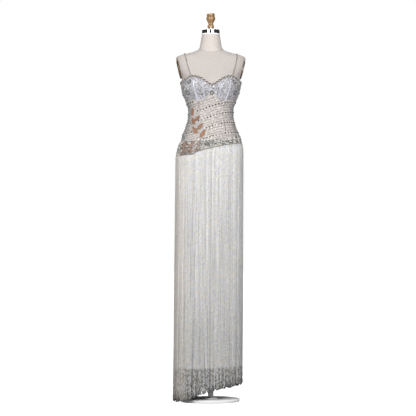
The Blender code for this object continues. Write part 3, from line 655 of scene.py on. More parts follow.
def underskirt_finish(colour):
    """Sheer crepe in two crossing threads with soft creases and a stitched hem."""
    made, field = material("underskirt", roughness=0.6, Sheen_Weight=0.2)
    place = place_of(field)
    across, along = sheet_of(field)
    weave = across.wave(0.0008) * 0.5 + along.wave(0.0008) * 0.5
    crease_and_shade = place.node("ShaderNodeMapping", {"Vector": place, "Scale": (70.0, 70.0, 5.0)}).noise(1.0, 3.0)
    # painted shade: the colour is darker in the soft creases, which also give the bump
    tone = (crease_and_shade * 0.7 + weave * 0.3).mix(scaled(colour, 0.62), scaled(colour, 0.95))
    stitch = along.near(0.012, 0.0007) * across.wave(0.003).rise(0.3, 0.5)
    tone = (stitch * 0.5).mix(tone, scaled(colour, 0.4))
    return paint(made, Base_Color=tone, Normal=field.bump(crease_and_shade * 0.8 + weave * 0.2, 0.0010))


def fringe_finish(colour):
    """Strung beads: each bead is rounded, with its own tone and a faint pink, blue or yellow lustre.

    The UV map counts strands across and beads along. Beads that lie together share some of their tone, a few
    pairs of strands are painted dark all the way down as the shade of a parting between locks, and the
    wearer's right side is warmer. Each bead is painted darker at its ends as shade, and the fringe is painted
    darker towards the bottom and in dark pits of shadow under the hem. The tint attribute carries painted
    shade that darkens the strands that hang free below the underskirt.
    """
    made, field = material("fringe_beads", metallic=0.15, Coat_Weight=0.3, Coat_Roughness=0.1)
    strand, bead = sheet_of(field)
    number = strand.floor()

    def strand_luck(which):
        return field.node("ShaderNodeTexWhiteNoise", {"W": which}, noise_dimensions="1D")

    def bead_luck(step):
        pair = field.node("ShaderNodeCombineXYZ", {0: (strand / step).floor(), 1: (bead / step).floor()})
        inputs = {"Vector": pair}
        return field.node("ShaderNodeTexWhiteNoise", inputs, output=1, noise_dimensions="2D").parts()

    own = strand_luck(number)
    inputs = {"W": number, "Scale": 0.17, "Detail": 2.0}
    lock = field.node("ShaderNodeTexNoise", inputs, noise_dimensions="1D")
    tone_of, hue_of, _ = bead_luck(1.0)
    patch_tone, patch_hue, _ = bead_luck(2.5)
    x, _, z = place_of(field).parts()
    low = 1 - z.rise(0.10, 0.75)
    parting_shade = strand_luck((number / 2.0).floor()).rise(0.93, 0.95)
    lustre = field.node("ShaderNodeValToRGB", {"Fac": hue_of * 0.4 + patch_hue * 0.6}, stops=LUSTRE)
    along = bead.math("FRACT", bead) * 2 - 1
    # painted shade: each bead is darker towards its ends, where it meets the next; the dome also gives the
    # bump
    dome_and_shade = along.math("MAXIMUM", 1 - along * along, 0.0) ** 0.5
    deeper = low * 0.5 + 1
    streaks = (patch_tone - 0.5) * 0.34 * deeper + (own + lock.rise(0.35, 0.65) - 1) * 0.17 * deeper
    shade = tone_of * 0.16 + streaks + dome_and_shade * 0.10 + own.rise(0.0, 0.30) * 0.16 + 0.30
    tone = shade.mix(scaled(colour, 0.48), scaled(colour, 1.42))
    # painted shadow: dark pits under the hem stand for the shade inside the clumps of strands
    shadow_pit = (1 - patch_hue.rise(0.28, 0.42)) * (1 - z.rise(0.165, 0.185))
    tone = (shadow_pit * 0.9).mix(tone, scaled(colour, 0.07))
    tone = field.node("ShaderNodeMix", {0: 0.34, 6: tone, 7: lustre}, output=2, data_type="RGBA")
    # painted shade: the fringe is darker towards the bottom, where the light falls off
    tone = (low * 0.20).mix(tone, scaled(colour, 0.30))
    # painted shade: a few pairs of strands are darkened as the shade of a parting between locks
    tone = (parting_shade * (1 - z.rise(0.40, 1.15) * 0.6) * 0.24).mix(tone, scaled(colour, 0.30))
    tone = ((1 - x.rise(-0.170, -0.105)) * 0.30).mix(tone, (0.80, 0.70, 0.58))
    # painted shade: the tint attribute darkens the inner layer and the strands below the underskirt
    tone = tone.times(tint_of(field), 1.0)
    return paint(made, Base_Color=tone, Roughness=0.28 + tone_of * 0.2, Normal=field.bump(dome_and_shade, 0.0010))


def fringe_tape_finish(colour):
    """Close woven tape, a little darker between its threads."""
    made, field = material("fringe_tape", roughness=0.7)
    weave = place_of(field).noise(900.0, 2.0)
    # painted shade: the tape is a little darker between its threads
    tone = weave.mix(scaled(colour, 0.5), scaled(colour, 0.9))
    return paint(made, Base_Color=tone, Normal=field.bump(weave, 0.0003))


def smooth_curve(places, values, at):
    """Values between the rows of a table: a cubic between each two rows that never overshoots them."""
    places = np.asarray(places, float)
    values = np.asarray(values, float)
    at = np.clip(np.asarray(at, float), places[0], places[-1])
    gaps = np.diff(places)
    rises = np.diff(values) / gaps
    slopes = np.zeros(len(places))
    slopes[0] = rises[0]
    slopes[-1] = rises[-1]
    before, after = rises[:-1], rises[1:]
    same_way = before * after > 0
    slopes[1:-1] = np.where(same_way, 2 * before * after / np.where(same_way, before + after, 1), 0)
    row = np.clip(np.searchsorted(places, at, side="right") - 1, 0, len(gaps) - 1)
    gap = gaps[row]
    part = (at - places[row]) / gap
    rest = 1 - part
    start = values[row] * (1 + 2 * part) * rest**2 + slopes[row] * gap * part * rest**2
    end = values[row + 1] * (3 - 2 * part) * part**2 - slopes[row + 1] * gap * rest * part**2
    return start + end


def from_table(table, key, name, at):
    """A column of a table, read smoothly at these values of its key."""
    return smooth_curve([getattr(row, key) for row in table], [getattr(row, name) for row in table], at)


def outline_radius(angle, half_width, front, back, power):
    """Distance from the axis to a rounded section: (|sin|/width)^p + (|cos|/depth)^p to the power -1/p."""
    depth = np.where(np.cos(angle) > 0, front, back)
    across = (np.abs(np.sin(angle)) / half_width) ** power
    along = (np.abs(np.cos(angle)) / depth) ** power
    return (across + along) ** (-1 / power)


def half_turned(angle):
    """The same direction as an angle from -180 to 180 degrees."""
    return (np.asarray(angle, float) + math.pi) % (2 * math.pi) - math.pi


def form_radius(angle, height):
    """The section at that height, two soft lobes for the cups, and flat cuts at the armholes."""
    sizes = [from_table(BODY, "height", name, height) for name in Section._fields[1:]]
    rise = height - BUST_HEIGHT
    spread = np.where(rise > 0, BUST_ABOVE, BUST_BELOW)
    lobes = sum(
        np.exp(-0.5 * ((half_turned(angle) + side * BUST_ANGLE) / BUST_SPREAD) ** 2) for side in (-1, 1)
    )
    radius = outline_radius(angle, *sizes) + BUST_REACH * np.exp(-0.5 * (rise / spread) ** 2) * lobes
    plane = ARM_HALF_WIDTH + (height - ARM_MIDDLE) * math.tan(ARM_LEAN)
    flat = plane / np.maximum(np.abs(np.sin(angle)), 1e-6)
    return np.where((height > ARM_BOTTOM) & (height < ARM_TOP), np.minimum(radius, flat), radius)


def round_axis(angle, radius, height, centre_x=0.0):
    """Points at an angle, a radius and a height: (centre + radius sin(angle), -radius cos(angle), height)."""
    x = centre_x + radius * np.sin(angle)
    y = -radius * np.cos(angle)
    return np.stack(np.broadcast_arrays(x, y, height), axis=-1)


def cloth_face(angle, height):
    """The cloth's outer face: close to the form above the hips, hanging straight below them."""
    angle, height = np.broadcast_arrays(np.asarray(angle, float), np.asarray(height, float))
    close = round_axis(angle, form_radius(angle, height) + EASE + CLOTH, height)
    hip = SKIRT[-1].height
    low = np.minimum(height, hip)
    sizes = [from_table(SKIRT, "height", name, low) for name in Fall._fields[2:]]
    centre_x = from_table(SKIRT, "height", "centre_x", low)
    hanging = round_axis(angle, outline_radius(angle, *sizes, SKIRT_POWER), height, centre_x)
    share = np.clip((height - hip) / (HANG_START - hip), 0, 1)
    share = (share**2 * (3 - 2 * share))[..., None]
    return close * share + hanging * (1 - share)


def unit(vectors):
    """Vectors made one long."""
    return vectors / np.linalg.norm(vectors, axis=-1, keepdims=True)


Spot = namedtuple("Spot", "point across up out")


def on_cloth(angle, height, out=0.0):
    """Points moved out square to the cloth's face, with the directions across, up and out there."""
    angle, height = np.broadcast_arrays(np.asarray(angle, float), np.asarray(height, float))
    across = unit(cloth_face(angle + 0.004, height) - cloth_face(angle - 0.004, height))
    rising = cloth_face(angle, height + 0.001) - cloth_face(angle, height - 0.001)
    normal = unit(np.cross(across, rising))
    point = cloth_face(angle, height) + normal * np.asarray(out, float)[..., None]
    return Spot(point, across, np.cross(normal, across), normal)


def neckline(angle):
    """Height of the bodice's upper edge."""
    return from_table(NECKLINE, "angle", "height", np.degrees(np.abs(half_turned(angle))))


def band_edge(angle, name):
    """Height of the hip band's lower or upper edge, which follows the sine of the angle."""
    return from_table(HIP_BAND, "side", name, np.sin(angle))


def waist_seam(angle):
    """Height of the seam between the bodice and the underskirt, in the middle of the band."""
    return (band_edge(angle, "lower") + band_edge(angle, "upper")) / 2


def hem(angle):
    """Height of the underskirt's hem, straight from the wearer's right to the left."""
    return HEM_LEFT + (HEM_RIGHT - HEM_LEFT) * (np.sin(angle) + 1) / 2


def cup_edge(angle):
    """Lower edge of the cups, a little higher at the centre front."""
    return CUP_BOTTOM + CUP_RISE * np.exp(-((half_turned(angle) / 0.24) ** 2))


def halves(gap=0.0):
    """The front and back halves of a piece that goes round the body: name, first angle and last angle."""
    return (("front", -SIDE + gap, SIDE - gap), ("back", SIDE + gap, BACK + SIDE - gap))


def half_seam(gap, radius):
    """Half of a gap at that radius, as an angle."""
    return gap / 2 / radius


def patch_luck(angle, height, size, random):
    """A random number for each place, the same for all places in a patch of that size."""
    across = np.floor(angle * CHEST_RADIUS / size).astype(int)
    up = np.floor(height / size + 0.5 * (across % 2)).astype(int)
    return random.random((97, 89))[across % 97, up % 89]


def new_object(name, points, faces, finish, smooth=True, tint=None, cut=None):
    """A mesh object from points and arrays of faces, each array with its own number of corners."""
    mesh = bpy.data.meshes.new(name)
    points = np.asarray(points, np.float32).reshape(-1, 3)
    faces = [np.asarray(some, np.int32) for some in faces]
    corners = np.concatenate([some.ravel() for some in faces])
    sides = np.concatenate([np.full(len(some), some.shape[1]) for some in faces])
    mesh.vertices.add(len(points))
    mesh.vertices.foreach_set("co", points.ravel())
    mesh.loops.add(len(corners))
    mesh.loops.foreach_set("vertex_index", corners)
    mesh.polygons.add(len(sides))
    mesh.polygons.foreach_set("loop_start", np.concatenate([[0], np.cumsum(sides)[:-1]]).astype(np.int32))
    mesh.update(calc_edges=True)
    if smooth:
        mesh.shade_smooth()
    else:
        mesh.shade_flat()
    if cut is not None:
        layer = mesh.uv_layers.new(name="Cut")
        layer.data.foreach_set("uv", np.asarray(cut, np.float32).reshape(-1, 2)[corners].ravel())
    if tint is not None:
        colour = mesh.attributes.new("tint", "FLOAT_COLOR", "POINT")
        full = np.concatenate([np.asarray(tint, np.float32), np.ones((len(points), 1), np.float32)], axis=1)
        colour.data.foreach_set("color", full.ravel())
    mesh.materials.append(finish)
    made = bpy.data.objects.new(name, mesh)
    bpy.context.scene.collection.objects.link(made)
    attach(made, GOWN)
    return made


def grid_faces(rows, columns, wrap=False):
    """Four-sided faces of points numbered row by row; wrap joins the last column to the first."""
    row, column = np.meshgrid(np.arange(rows - 1), np.arange(columns if wrap else columns - 1), indexing="ij")
    after = (column + 1) % columns
    low, high = row * columns, (row + 1) * columns
    return np.stack((low + column, low + after, high + after, high + column), axis=-1).reshape(-1, 4)


def loft(rings):
    """A skin over rings of points, each end closed by triangles that meet at the ring's middle."""
    count, steps = rings.shape[:2]
    points = np.concatenate([rings.reshape(-1, 3), rings[[0, -1]].mean(axis=1)])
    corner = np.arange(steps)
    after = (corner + 1) % steps
    top = (count - 1) * steps
    first = np.stack((after, corner, np.full(steps, count * steps)), axis=-1)
    last = np.stack((top + corner, top + after, np.full(steps, count * steps + 1)), axis=-1)
    return points, [grid_faces(count, steps, wrap=True), first, last]


def flat_map(across, along, ends=((0, 0), (0, 0))):
    """The UV places of a lofted piece: lengths across and along it, and one for the middle of each end."""
    return np.concatenate([np.stack(np.broadcast_arrays(across, along), axis=-1).reshape(-1, 2), ends])


def outward(points, faces):
    """The faces, turned round if the closed skin's volume comes out negative."""
    volume = 0.0
    for some in faces:
        for corner in range(1, some.shape[1] - 1):
            a, b, c = (points[some[:, k]] for k in (0, corner, corner + 1))
            volume += float((a * np.cross(b, c)).sum())
    return faces if volume > 0 else [some[:, ::-1] for some in faces]


def lofted(name, rings, finish, cut=None):
    """A closed piece over rings of points, with its faces turned outwards."""
    points, faces = loft(rings)
    return new_object(name, points, outward(points, faces), finish, cut=cut)


def cut_size(grid):
    """Flat size of a grid of cloth points: its longest row, its longest column and its area."""
    across = np.linalg.norm(np.diff(grid, axis=1), axis=2).sum(axis=1).max()
    along = np.linalg.norm(np.diff(grid, axis=0), axis=2).sum(axis=0).max()
    crossed = np.cross(grid[1:, 1:] - grid[:-1, :-1], grid[1:, :-1] - grid[:-1, 1:])
    area = np.linalg.norm(crossed, axis=2).sum() / 2
    return (float(across), float(along)), float(min(area, across * along))


def cloth_sheet(name, grid, cut, finish, thickness, node):
    """A thin shell of cloth from a grid of points of its outer face, in the place of a solid. Its flat size
    is worked out and not used.
    """
    rows, columns = grid.shape[:2]
    made = new_object(name, grid, [grid_faces(rows, columns)], finish, cut=cut)
    wall = made.modifiers.new("Wall", "SOLIDIFY")
    wall.thickness = thickness
    wall.offset = -1
    flat, area = cut_size(grid)
    stand_for(made, node)


def slot_of(node):
    """The record's material slot of a solid."""
    return next(row["material_slot"] for row in frame["record"]["subparts"] if row["node"] == node)


def stand_for(made, node):
    """Puts a piece in the place of a solid by hiding the solid. The solid's slot is looked up and not used.
    """
    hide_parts(node)
    slot_of(node)


def strip_rings(angle, rows):
    """Rings along a strip on the cloth: each row is a height for every angle and how far out it lies."""
    return np.stack([on_cloth(angle, height, out).point for height, out in rows], axis=1)


def bead_shape():
    """A round bead of width 1: an icosahedron, which shades smooth."""
    golden = (1 + 5**0.5) / 2
    signs = [(a, b) for a in (-1, 1) for b in (-golden, golden)]
    points = [(0, a, b) for a, b in signs] + [(a, b, 0) for a, b in signs] + [(b, 0, a) for a, b in signs]
    points = unit(np.array(points, float)) / 2
    gaps = np.linalg.norm(points[:, None] - points[None], axis=2)
    side = gaps[gaps > 0].min() * 1.01
    faces = [
        (a, b, c)
        for a in range(12)
        for b in range(a + 1, 12)
        for c in range(b + 1, 12)
        if max(gaps[a, b], gaps[b, c], gaps[a, c]) < side
    ]
    faces = np.array(faces)
    middle = points[faces].sum(axis=1)
    turn = np.cross(points[faces[:, 1]] - points[faces[:, 0]], points[faces[:, 2]] - points[faces[:, 0]])
    inward = (turn * middle).sum(axis=1) < 0
    faces[inward] = faces[inward][:, ::-1]
    return points, [faces]


def stone_shape():
    """A rhinestone of width 1: eight facets between a small table and the girdle, and a short cup below."""
    corner = np.arange(8) * math.pi / 4
    rings = [
        (0.50, 0.00, 0.0),
        (0.50, 0.14, 0.5),
        (0.30, 0.36, 0.0),
    ]
    points = np.stack(
        [
            np.stack(
                (
                    radius * np.cos(corner + turn * math.pi / 4),
                    radius * np.sin(corner + turn * math.pi / 4),
                    np.full(8, rise),
                ),
                axis=-1,
            )
            for radius, rise, turn in rings
        ]
    )
    return loft(points)


def copies(shape, spots, sizes):
    """Copies of a small shape: its points (x, y, z) go to point + size (x across + y up + z out)."""
    points, faces = shape
    sizes = np.broadcast_to(sizes, len(spots.point))[:, None, None]
    moved = (
        points[None, :, 0:1] * spots.across[:, None]
        + points[None, :, 1:2] * spots.up[:, None]
        + points[None, :, 2:3] * spots.out[:, None]
    )
    moved = spots.point[:, None] + moved * sizes
    start = len(points) * np.arange(len(spots.point))[:, None, None]
    return moved.reshape(-1, 3), [(some[None] + start).reshape(-1, some.shape[1]) for some in faces]


def scatter(name, shape, spots, sizes, tints, finish, slot, smooth=True):
    """One mesh of many copies of a shape, each with its tint."""
    points, faces = copies(shape, spots, sizes)
    tint = np.repeat(np.asarray(tints, np.float32), len(shape[0]), axis=0)
    made = new_object(name, points, faces, finish, smooth=smooth, tint=tint)
    return made


def joined(*groups):
    """Several groups of spots as one."""
    return Spot(*(np.concatenate(fields) for fields in zip(*groups)))


def uneven(colours, count, random, spread, top=0.98):
    """Colours of many beads, each made a little lighter or darker."""
    return np.clip(colours * (1 + spread * random.standard_normal((count, 1))), 0.02, top)


def tinted(colour, count, random, spread=0.12):
    """One colour for each of many beads, each a little lighter or darker."""
    return uneven(np.array(colour)[None], count, random, spread)


def path_lengths(points):
    """Length along a line of points, from its start to each of them."""
    return np.concatenate([[0], np.cumsum(np.linalg.norm(np.diff(points, axis=0), axis=1))])


def even_angles(height, pitch, start, end):
    """Angles from start to end that stand a pitch apart along the cloth at that height."""
    fine = np.linspace(start, end, 721)
    length = path_lengths(cloth_face(fine, height(fine)))
    count = max(2, int(length[-1] / pitch))
    return np.interp((np.arange(count) + 0.5) / count * length[-1], length, fine)


def dress_form(colours):
    """The linen body: sections of form_radius from the bottom edge to the top of the neck."""
    angles = np.linspace(0, 2 * math.pi, 160, endpoint=False)
    levels = np.concatenate(
        [
            [1.0850, 1.0870, 1.0905, 1.0960],
            np.linspace(1.104, 1.610, 88),
            [ARM_BOTTOM, ARM_BOTTOM + 0.0007],
            np.linspace(1.616, 1.706, 22),
            [ARM_TOP, ARM_TOP + 0.0010],
            np.linspace(1.710, 1.735, 16),
            np.linspace(1.7365, 1.775, 26),
            np.linspace(1.780, TAPE_BOTTOM - 0.001, 10),
            [TAPE_BOTTOM, 1.8360, BODY[-1].height],
        ]
    )[:, None]
    radius = form_radius(angles, levels) + TAPE_LIFT * (levels >= TAPE_BOTTOM)
    cut = flat_map(angles * LINEN_RADIUS, levels, [[0, levels[0, 0]], [0, levels[-1, 0]]])
    made = lofted("linen_body", round_axis(angles, radius, levels), linen_finish(colours.linen), cut)
    made.data.set_sharp_from_angle(angle=SHARP)
    stand_for(made, "form_torso")


def arm_plates(colours):
    """Oval plates that close the armholes: rings of an ellipse, rounded at the outer rim."""
    finish = wood_finish("plate_wood", scaled(colours.wood, 0.36), 160.0, 0.5)
    turn = np.linspace(0, 2 * math.pi, 72, endpoint=False)[:, None]
    rim = np.linspace(0, math.pi / 2, 6)
    flat = PLATE_THICKNESS - PLATE_ROUNDING
    steps = [(0.0, 1.0)]
    steps += [(flat + PLATE_ROUNDING * math.sin(a), 1 - 0.09 * (1 - math.cos(a))) for a in rim]
    steps += [(PLATE_THICKNESS + 0.0006, 0.5)]
    for side, name in SIDES:
        middle = np.array((side * ARM_HALF_WIDTH, PLATE_SET_BACK, ARM_MIDDLE))
        out = np.array((side * math.cos(ARM_LEAN), 0, -math.sin(ARM_LEAN)))
        tall = np.array((side * math.sin(ARM_LEAN), 0, math.cos(ARM_LEAN)))
        deep = np.array((0, 1, 0))
        rings = np.stack(
            [
                middle
                + out * (SEAM + lift)
                + np.cos(turn) * tall * PLATE_HALF_HEIGHT * share
                + np.sin(turn) * deep * PLATE_HALF_DEPTH * share
                for lift, share in steps
            ]
        )
        made = lofted(f"arm_plate_{name}", rings, finish)
        made.data.set_sharp_from_angle(angle=SHARP)
        stand_for(made, f"form_arm_plate_{name}")


def turned(name, heights, radii, finish, node, steps=72, stretch=(1.0, 1.0)):
    """A turned piece: circles, or ellipses with a stretch, at each height and radius."""
    angles = np.linspace(0, 2 * math.pi, steps, endpoint=False)
    heights, radii = (np.asarray(values, float)[:, None] for values in (heights, radii))
    made = lofted(name, round_axis(angles, radii, heights) * np.array((*stretch, 1.0)), finish)
    made.data.set_sharp_from_angle(angle=math.radians(40))
    stand_for(made, node)


def corner_round(radius, height, size, steps=5):
    """Radii and heights of a quarter round at the top outer edge of a disc."""
    turn = np.linspace(0, math.pi / 2, steps)
    return radius - size + size * np.cos(turn), height - size + size * np.sin(turn)


def neck_and_finial(colours):
    """The chrome cap with the stem on it, and the turned finial with two cut grooves."""
    round_radius, round_height = corner_round(CAP_RADIUS, CAP_TOP, CAP_ROUNDING, 7)
    wall = CAP_BOTTOM + np.array((0.0006, 0.0008, 0.0012, 0.0080, 0.0155))
    radii = [CAP_RADIUS - 0.0004, *np.full(5, CAP_RADIUS), *round_radius]
    radii += [0.0220, 0.0160, STEM_RADIUS + 0.0020, STEM_RADIUS, STEM_RADIUS]
    heights = [CAP_BOTTOM, *wall, *round_height]
    heights += [CAP_TOP, CAP_TOP + 0.0002, CAP_TOP + 0.0006, CAP_TOP + 0.0024, FINIAL_FOOT - SEAM]
    turned("chrome_neck_cap", heights, radii, chrome_finish(), "form_neck_cap", steps=96)
    levels = np.linspace(0, FINIAL[-1].height, 64)
    radii = from_table(FINIAL, "height", "radius", levels)
    grooves = sum(np.exp(-(((levels - at) / 0.0007) ** 2)) for at in (0.0145, 0.0595))
    wood = wood_finish("finial_wood", colours.wood, 110.0, 0.9)
    turned("wooden_finial", FINIAL_FOOT + levels, radii - 0.0008 * grooves, wood, "form_finial", steps=80)


def stand():
    """The plain pole with a flange at each end, and the oval plate."""
    white = paint_finish()
    low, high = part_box("stand_pole")
    flange, foot, pole, thick = 0.0450, 0.0340, 0.0140, 0.0060
    radii = [foot, foot, foot - 0.001, pole + 0.003, pole, pole, pole + 0.003, flange - 0.001, flange, flange]
    rises = [0, thick - 0.001, thick, thick, thick + 0.003]
    heights = [low.z + rise for rise in rises] + [high.z - rise for rise in rises[::-1]]
    turned("stand_column", heights, radii, white, "stand_pole")
    low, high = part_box("stand_base")
    round_radius, round_height = corner_round(1.0, 0.0, 0.022, 6)
    heights = [low.z, low.z + 0.001, *(high.z + round_height * high.x)]
    radii = [high.x - 0.001, high.x, *(round_radius * high.x)]
    turned("stand_plate", heights, radii, white, "stand_base", steps=120, stretch=(1.0, high.y / high.x))


def bodice(colours):
    """Five panels of beaded net over the form, each a grid between two seams."""
    finish = net_finish(colours)
    gap = half_seam(PANEL_SEAM, CHEST_RADIUS)
    zip_gap = half_seam(ZIP_OPENING, SPINE_RADIUS)
    panels = [("centre_front", -PRINCESS + gap, PRINCESS - gap)]
    for side, name in SIDES:
        panels.append((f"side_front_{name}", *sorted((side * (PRINCESS + gap), side * (SIDE - gap)))))
        panels.append((f"back_{name}", *sorted((side * (SIDE + gap), side * (BACK - zip_gap)))))
    for name, start, end in panels:
        angle = np.linspace(start, end, max(12, round((end - start) / math.radians(2.2))))
        low, high = waist_seam(angle) + PANEL_SEAM / 2, neckline(angle)
        height = low + (high - low) * np.linspace(0, 1, 76)[:, None]
        angle = np.broadcast_to(angle, height.shape)
        grid = on_cloth(angle, height).point
        cut = np.stack((angle, height), axis=-1)
        cloth_sheet(
            f"{name}_cloth", grid, cut, finish, 0.0012, f"bodice_{name}"
        )


def satin_strip(name, side_angle, bottom, top, widths, finish):
    """A strip of satin up the cloth: its section is a low arch, and its width runs evenly from end to end."""
    height = np.linspace(bottom, top, 48)[:, None]
    width = np.linspace(*widths, 48)[:, None]
    arch = np.linspace(-1, 1, 13)
    lift = 0.0012 + 0.0012 * (1 - arch**4) ** 0.5
    angle = side_angle + width / 2 / form_radius(np.full_like(height, side_angle), height) * arch
    upper = on_cloth(angle, height, lift).point
    under = on_cloth(angle, height, 0.0010).point[:, ::-1]
    across = np.concatenate([arch, arch[::-1][1:-1]]) * width / 2
    cut = flat_map(across, height, [[0, bottom], [0, top]])
    return lofted(name, np.concatenate([upper, under[:, 1:-1]], axis=1), finish, cut)


def channels(colours):
    """Satin boning channels over the princess seams, and a narrower, shorter one inside each."""
    finish = satin_finish("channel_satin", colours.satin)
    inner_finish = satin_finish("inner_channel_satin", scaled(colours.satin, 0.8))
    top = float(neckline(PRINCESS)) - CHANNEL_BELOW_EDGE
    for side, name in SIDES:
        outer = satin_strip(f"satin_channel_{name}", side * PRINCESS, 1.4970, top, (0.0110, 0.0060), finish)
        stand_for(outer, f"boning_channel_{name}")
        angle = side * INNER_CHANNEL
        inner = satin_strip(f"inner_channel_{name}", angle, 1.5060, 1.5830, (0.0064, 0.0036), inner_finish)


def neck_edging(colours, sizes, beads):
    """A narrow tape along the neckline under two rows of beads.

    One bead of three is pale in the upper row, and in the lower row one is pale, one copper and one dark.
    """
    random = np.random.default_rng(SEED)
    gap = half_seam(SEAM, CHEST_RADIUS)
    zip_gap = half_seam(ZIP_OPENING, SPINE_RADIUS)
    tape = satin_finish("edging_tape", scaled(colours.side, 0.5))
    parts = (
        ("neck_trim_front", "edging_front", -SIDE + gap, SIDE - gap),
        ("neck_trim_back_left", "edging_back_left", SIDE + gap, BACK - zip_gap),
        ("neck_trim_back_right", "edging_back_right", -BACK + zip_gap, -SIDE - gap),
    )
    for node, name, start, end in parts:
        angle = np.linspace(start, end, max(20, round((end - start) / math.radians(1.5))))
        rings = strip_rings(angle, [(neckline(angle) + up, out) for up, out in EDGING_SECTION])
        cut = flat_map(np.array([up for up, _ in EDGING_SECTION]), angle[:, None] * CHEST_RADIUS)
        stand_for(lofted(f"{name}_tape", rings, tape, cut), node)
        at = even_angles(neckline, sizes.edge_bead * 1.02, start, end)
        step = (at[1] - at[0]) / 2
        count = len(at)
        turn = (np.arange(count) % 3)[:, None]
        spots = joined(
            on_cloth(at, neckline(at) - 0.0002, 0.0016),
            on_cloth(np.minimum(at + step, end), neckline(at + step) - 0.0052, 0.0020),
        )
        dark = tinted(scaled(colours.dark, 0.4), count, random)
        upper = np.where(turn > 0, dark, tinted((0.76, 0.73, 0.68), count, random))
        lower = np.where(turn == 1, tinted((0.66, 0.58, 0.50), count, random), dark)
        lower = np.where(turn == 2, tinted((0.46, 0.24, 0.14), count, random), lower)
        tints = np.concatenate([upper, lower])
        scatter(f"{name}_beads", bead_shape(), spots, sizes.edge_bead, tints, beads, "bead_trim")


def row_height(angle, base):
    """A row of beads round the bodice: it slants up to the wearer's left, and arches a little in front."""
    return base + 0.030 * np.sin(angle) + 0.010 * np.cos(angle)


def leaf_half_width(leaf, along):
    """A leaf's half width at a share of its length: a sine, fuller near the foot."""
    return leaf.half_width * np.sin(math.pi * np.clip(along, 0, 1) ** 0.9) ** 0.8


def under_leaf(angle, height):
    """True where a place lies under one of the leaves, or within 1.5 mm of it."""
    hidden = np.zeros(len(angle), bool)
    for leaf in LEAVES + CREAM_LEAVES:
        base, turn = math.radians(leaf.angle), math.radians(leaf.turn)
        right = (angle - base) * float(form_radius(base, leaf.height))
        rise = height - leaf.height
        along = (right * math.cos(turn) + rise * math.sin(turn)) / leaf.length
        aside = np.abs(rise * math.cos(turn) - right * math.sin(turn))
        hidden |= (along > 0) & (along < 1) & (aside < leaf_half_width(leaf, along) + 0.0015)
    return hidden


def midriff_rows(colours, sizes, beads, stones):
    """Parallel slanting rows of beads round the midriff, in turns of four.

    The first row of each four is dark stones at even steps between two lines of pale beads. The others are
    single lines of darker beads.
    """
    random = np.random.default_rng(SEED + 1)
    row_tones = (scaled(colours.cream, 1.25), (0.13, 0.125, 0.12), (0.24, 0.225, 0.21), (0.13, 0.125, 0.12))
    for half, start, end in halves():
        bead_spots, bead_tints, stone_spots, stone_tints = [], [], [], []

        def laid(base, pitch, lift, for_stones):
            """Spots along a row, clear of the band, the cups, the neckline, the leaves and the zip."""
            angle = even_angles(lambda at: row_height(at, base), pitch, start, end)
            height = row_height(angle, base)
            front = half_turned(angle)
            top = np.where(np.abs(front) < SIDE, cup_edge(angle) - 0.004, neckline(angle) - 0.013)
            clear_of_zip = 0.060
            if for_stones:
                top = top - (0.006 + 0.010 * np.exp(-((front / 0.20) ** 2)))
                clear_of_zip = 0.095
            keep = (height > band_edge(angle, "upper") + 0.005) & (height < top)
            keep &= (np.abs(half_turned(angle - BACK)) > clear_of_zip) & ~under_leaf(angle, height)
            return on_cloth(angle[keep], height[keep], lift)

        for row, base in enumerate(np.arange(FIRST_ROW, LAST_ROW, sizes.row_step)):
            kind = row % len(row_tones)
            for rail in (-STONE_RAIL, STONE_RAIL) if kind == 0 else (0.0,):
                spots = laid(base + rail, sizes.seed_bead * 1.08, sizes.seed_bead * 0.36, False)
                bead_spots.append(spots)
                bead_tints.append(tinted(row_tones[kind], len(spots.point), random, 0.25))
            if kind == 0:
                spots = laid(base, sizes.stone * 2.0, 0.0004, True)
                stone_spots.append(spots)
                stone_tints.append(tinted((0.022, 0.022, 0.025), len(spots.point), random, 0.5))
        for kind, shape, spots, size, tints, finish in (
            ("beads", bead_shape(), bead_spots, sizes.seed_bead, bead_tints, beads),
            ("stones", stone_shape(), stone_spots, sizes.stone, stone_tints, stones),
        ):
            name, smooth = f"midriff_{kind}_{half}", kind == "beads"
            scatter(name, shape, joined(*spots), size, np.concatenate(tints), finish, "beaded_cloth", smooth)


def rosettes(places, colours, random, beads, stones):
    """Plain round rosettes: a stone inside a ring of seven grey beads and a ring of twelve dark ones."""
    petals, hearts, tints = [], [], []
    rings = ((7, 0.0050, scaled(colours.silver, 0.5)), (12, 0.0092, (0.034, 0.038, 0.028)))
    for centre, at in places:
        heart = on_cloth(np.array([centre]), np.array([at]), 0.0016)
        hearts.append(heart)
        radius = float(np.linalg.norm(heart.point[0, :2]))
        for count, reach, colour in rings:
            around = np.arange(count) * 2 * math.pi / count
            angle = centre + reach * np.cos(around) / radius
            petals.append(on_cloth(angle, at + reach * np.sin(around), 0.0018))
            tints.append(tinted(colour, count, random, 0.2))
    tints = np.concatenate(tints)
    scatter("rosette_beads", bead_shape(), joined(*petals), 0.0046, tints, beads, "beaded_cloth")
    hearts = joined(*hearts)
    tints = tinted((0.55, 0.55, 0.56), len(hearts.point), random)
    scatter("rosette_stones", stone_shape(), hearts, 0.0062, tints, stones, "beaded_cloth", smooth=False)


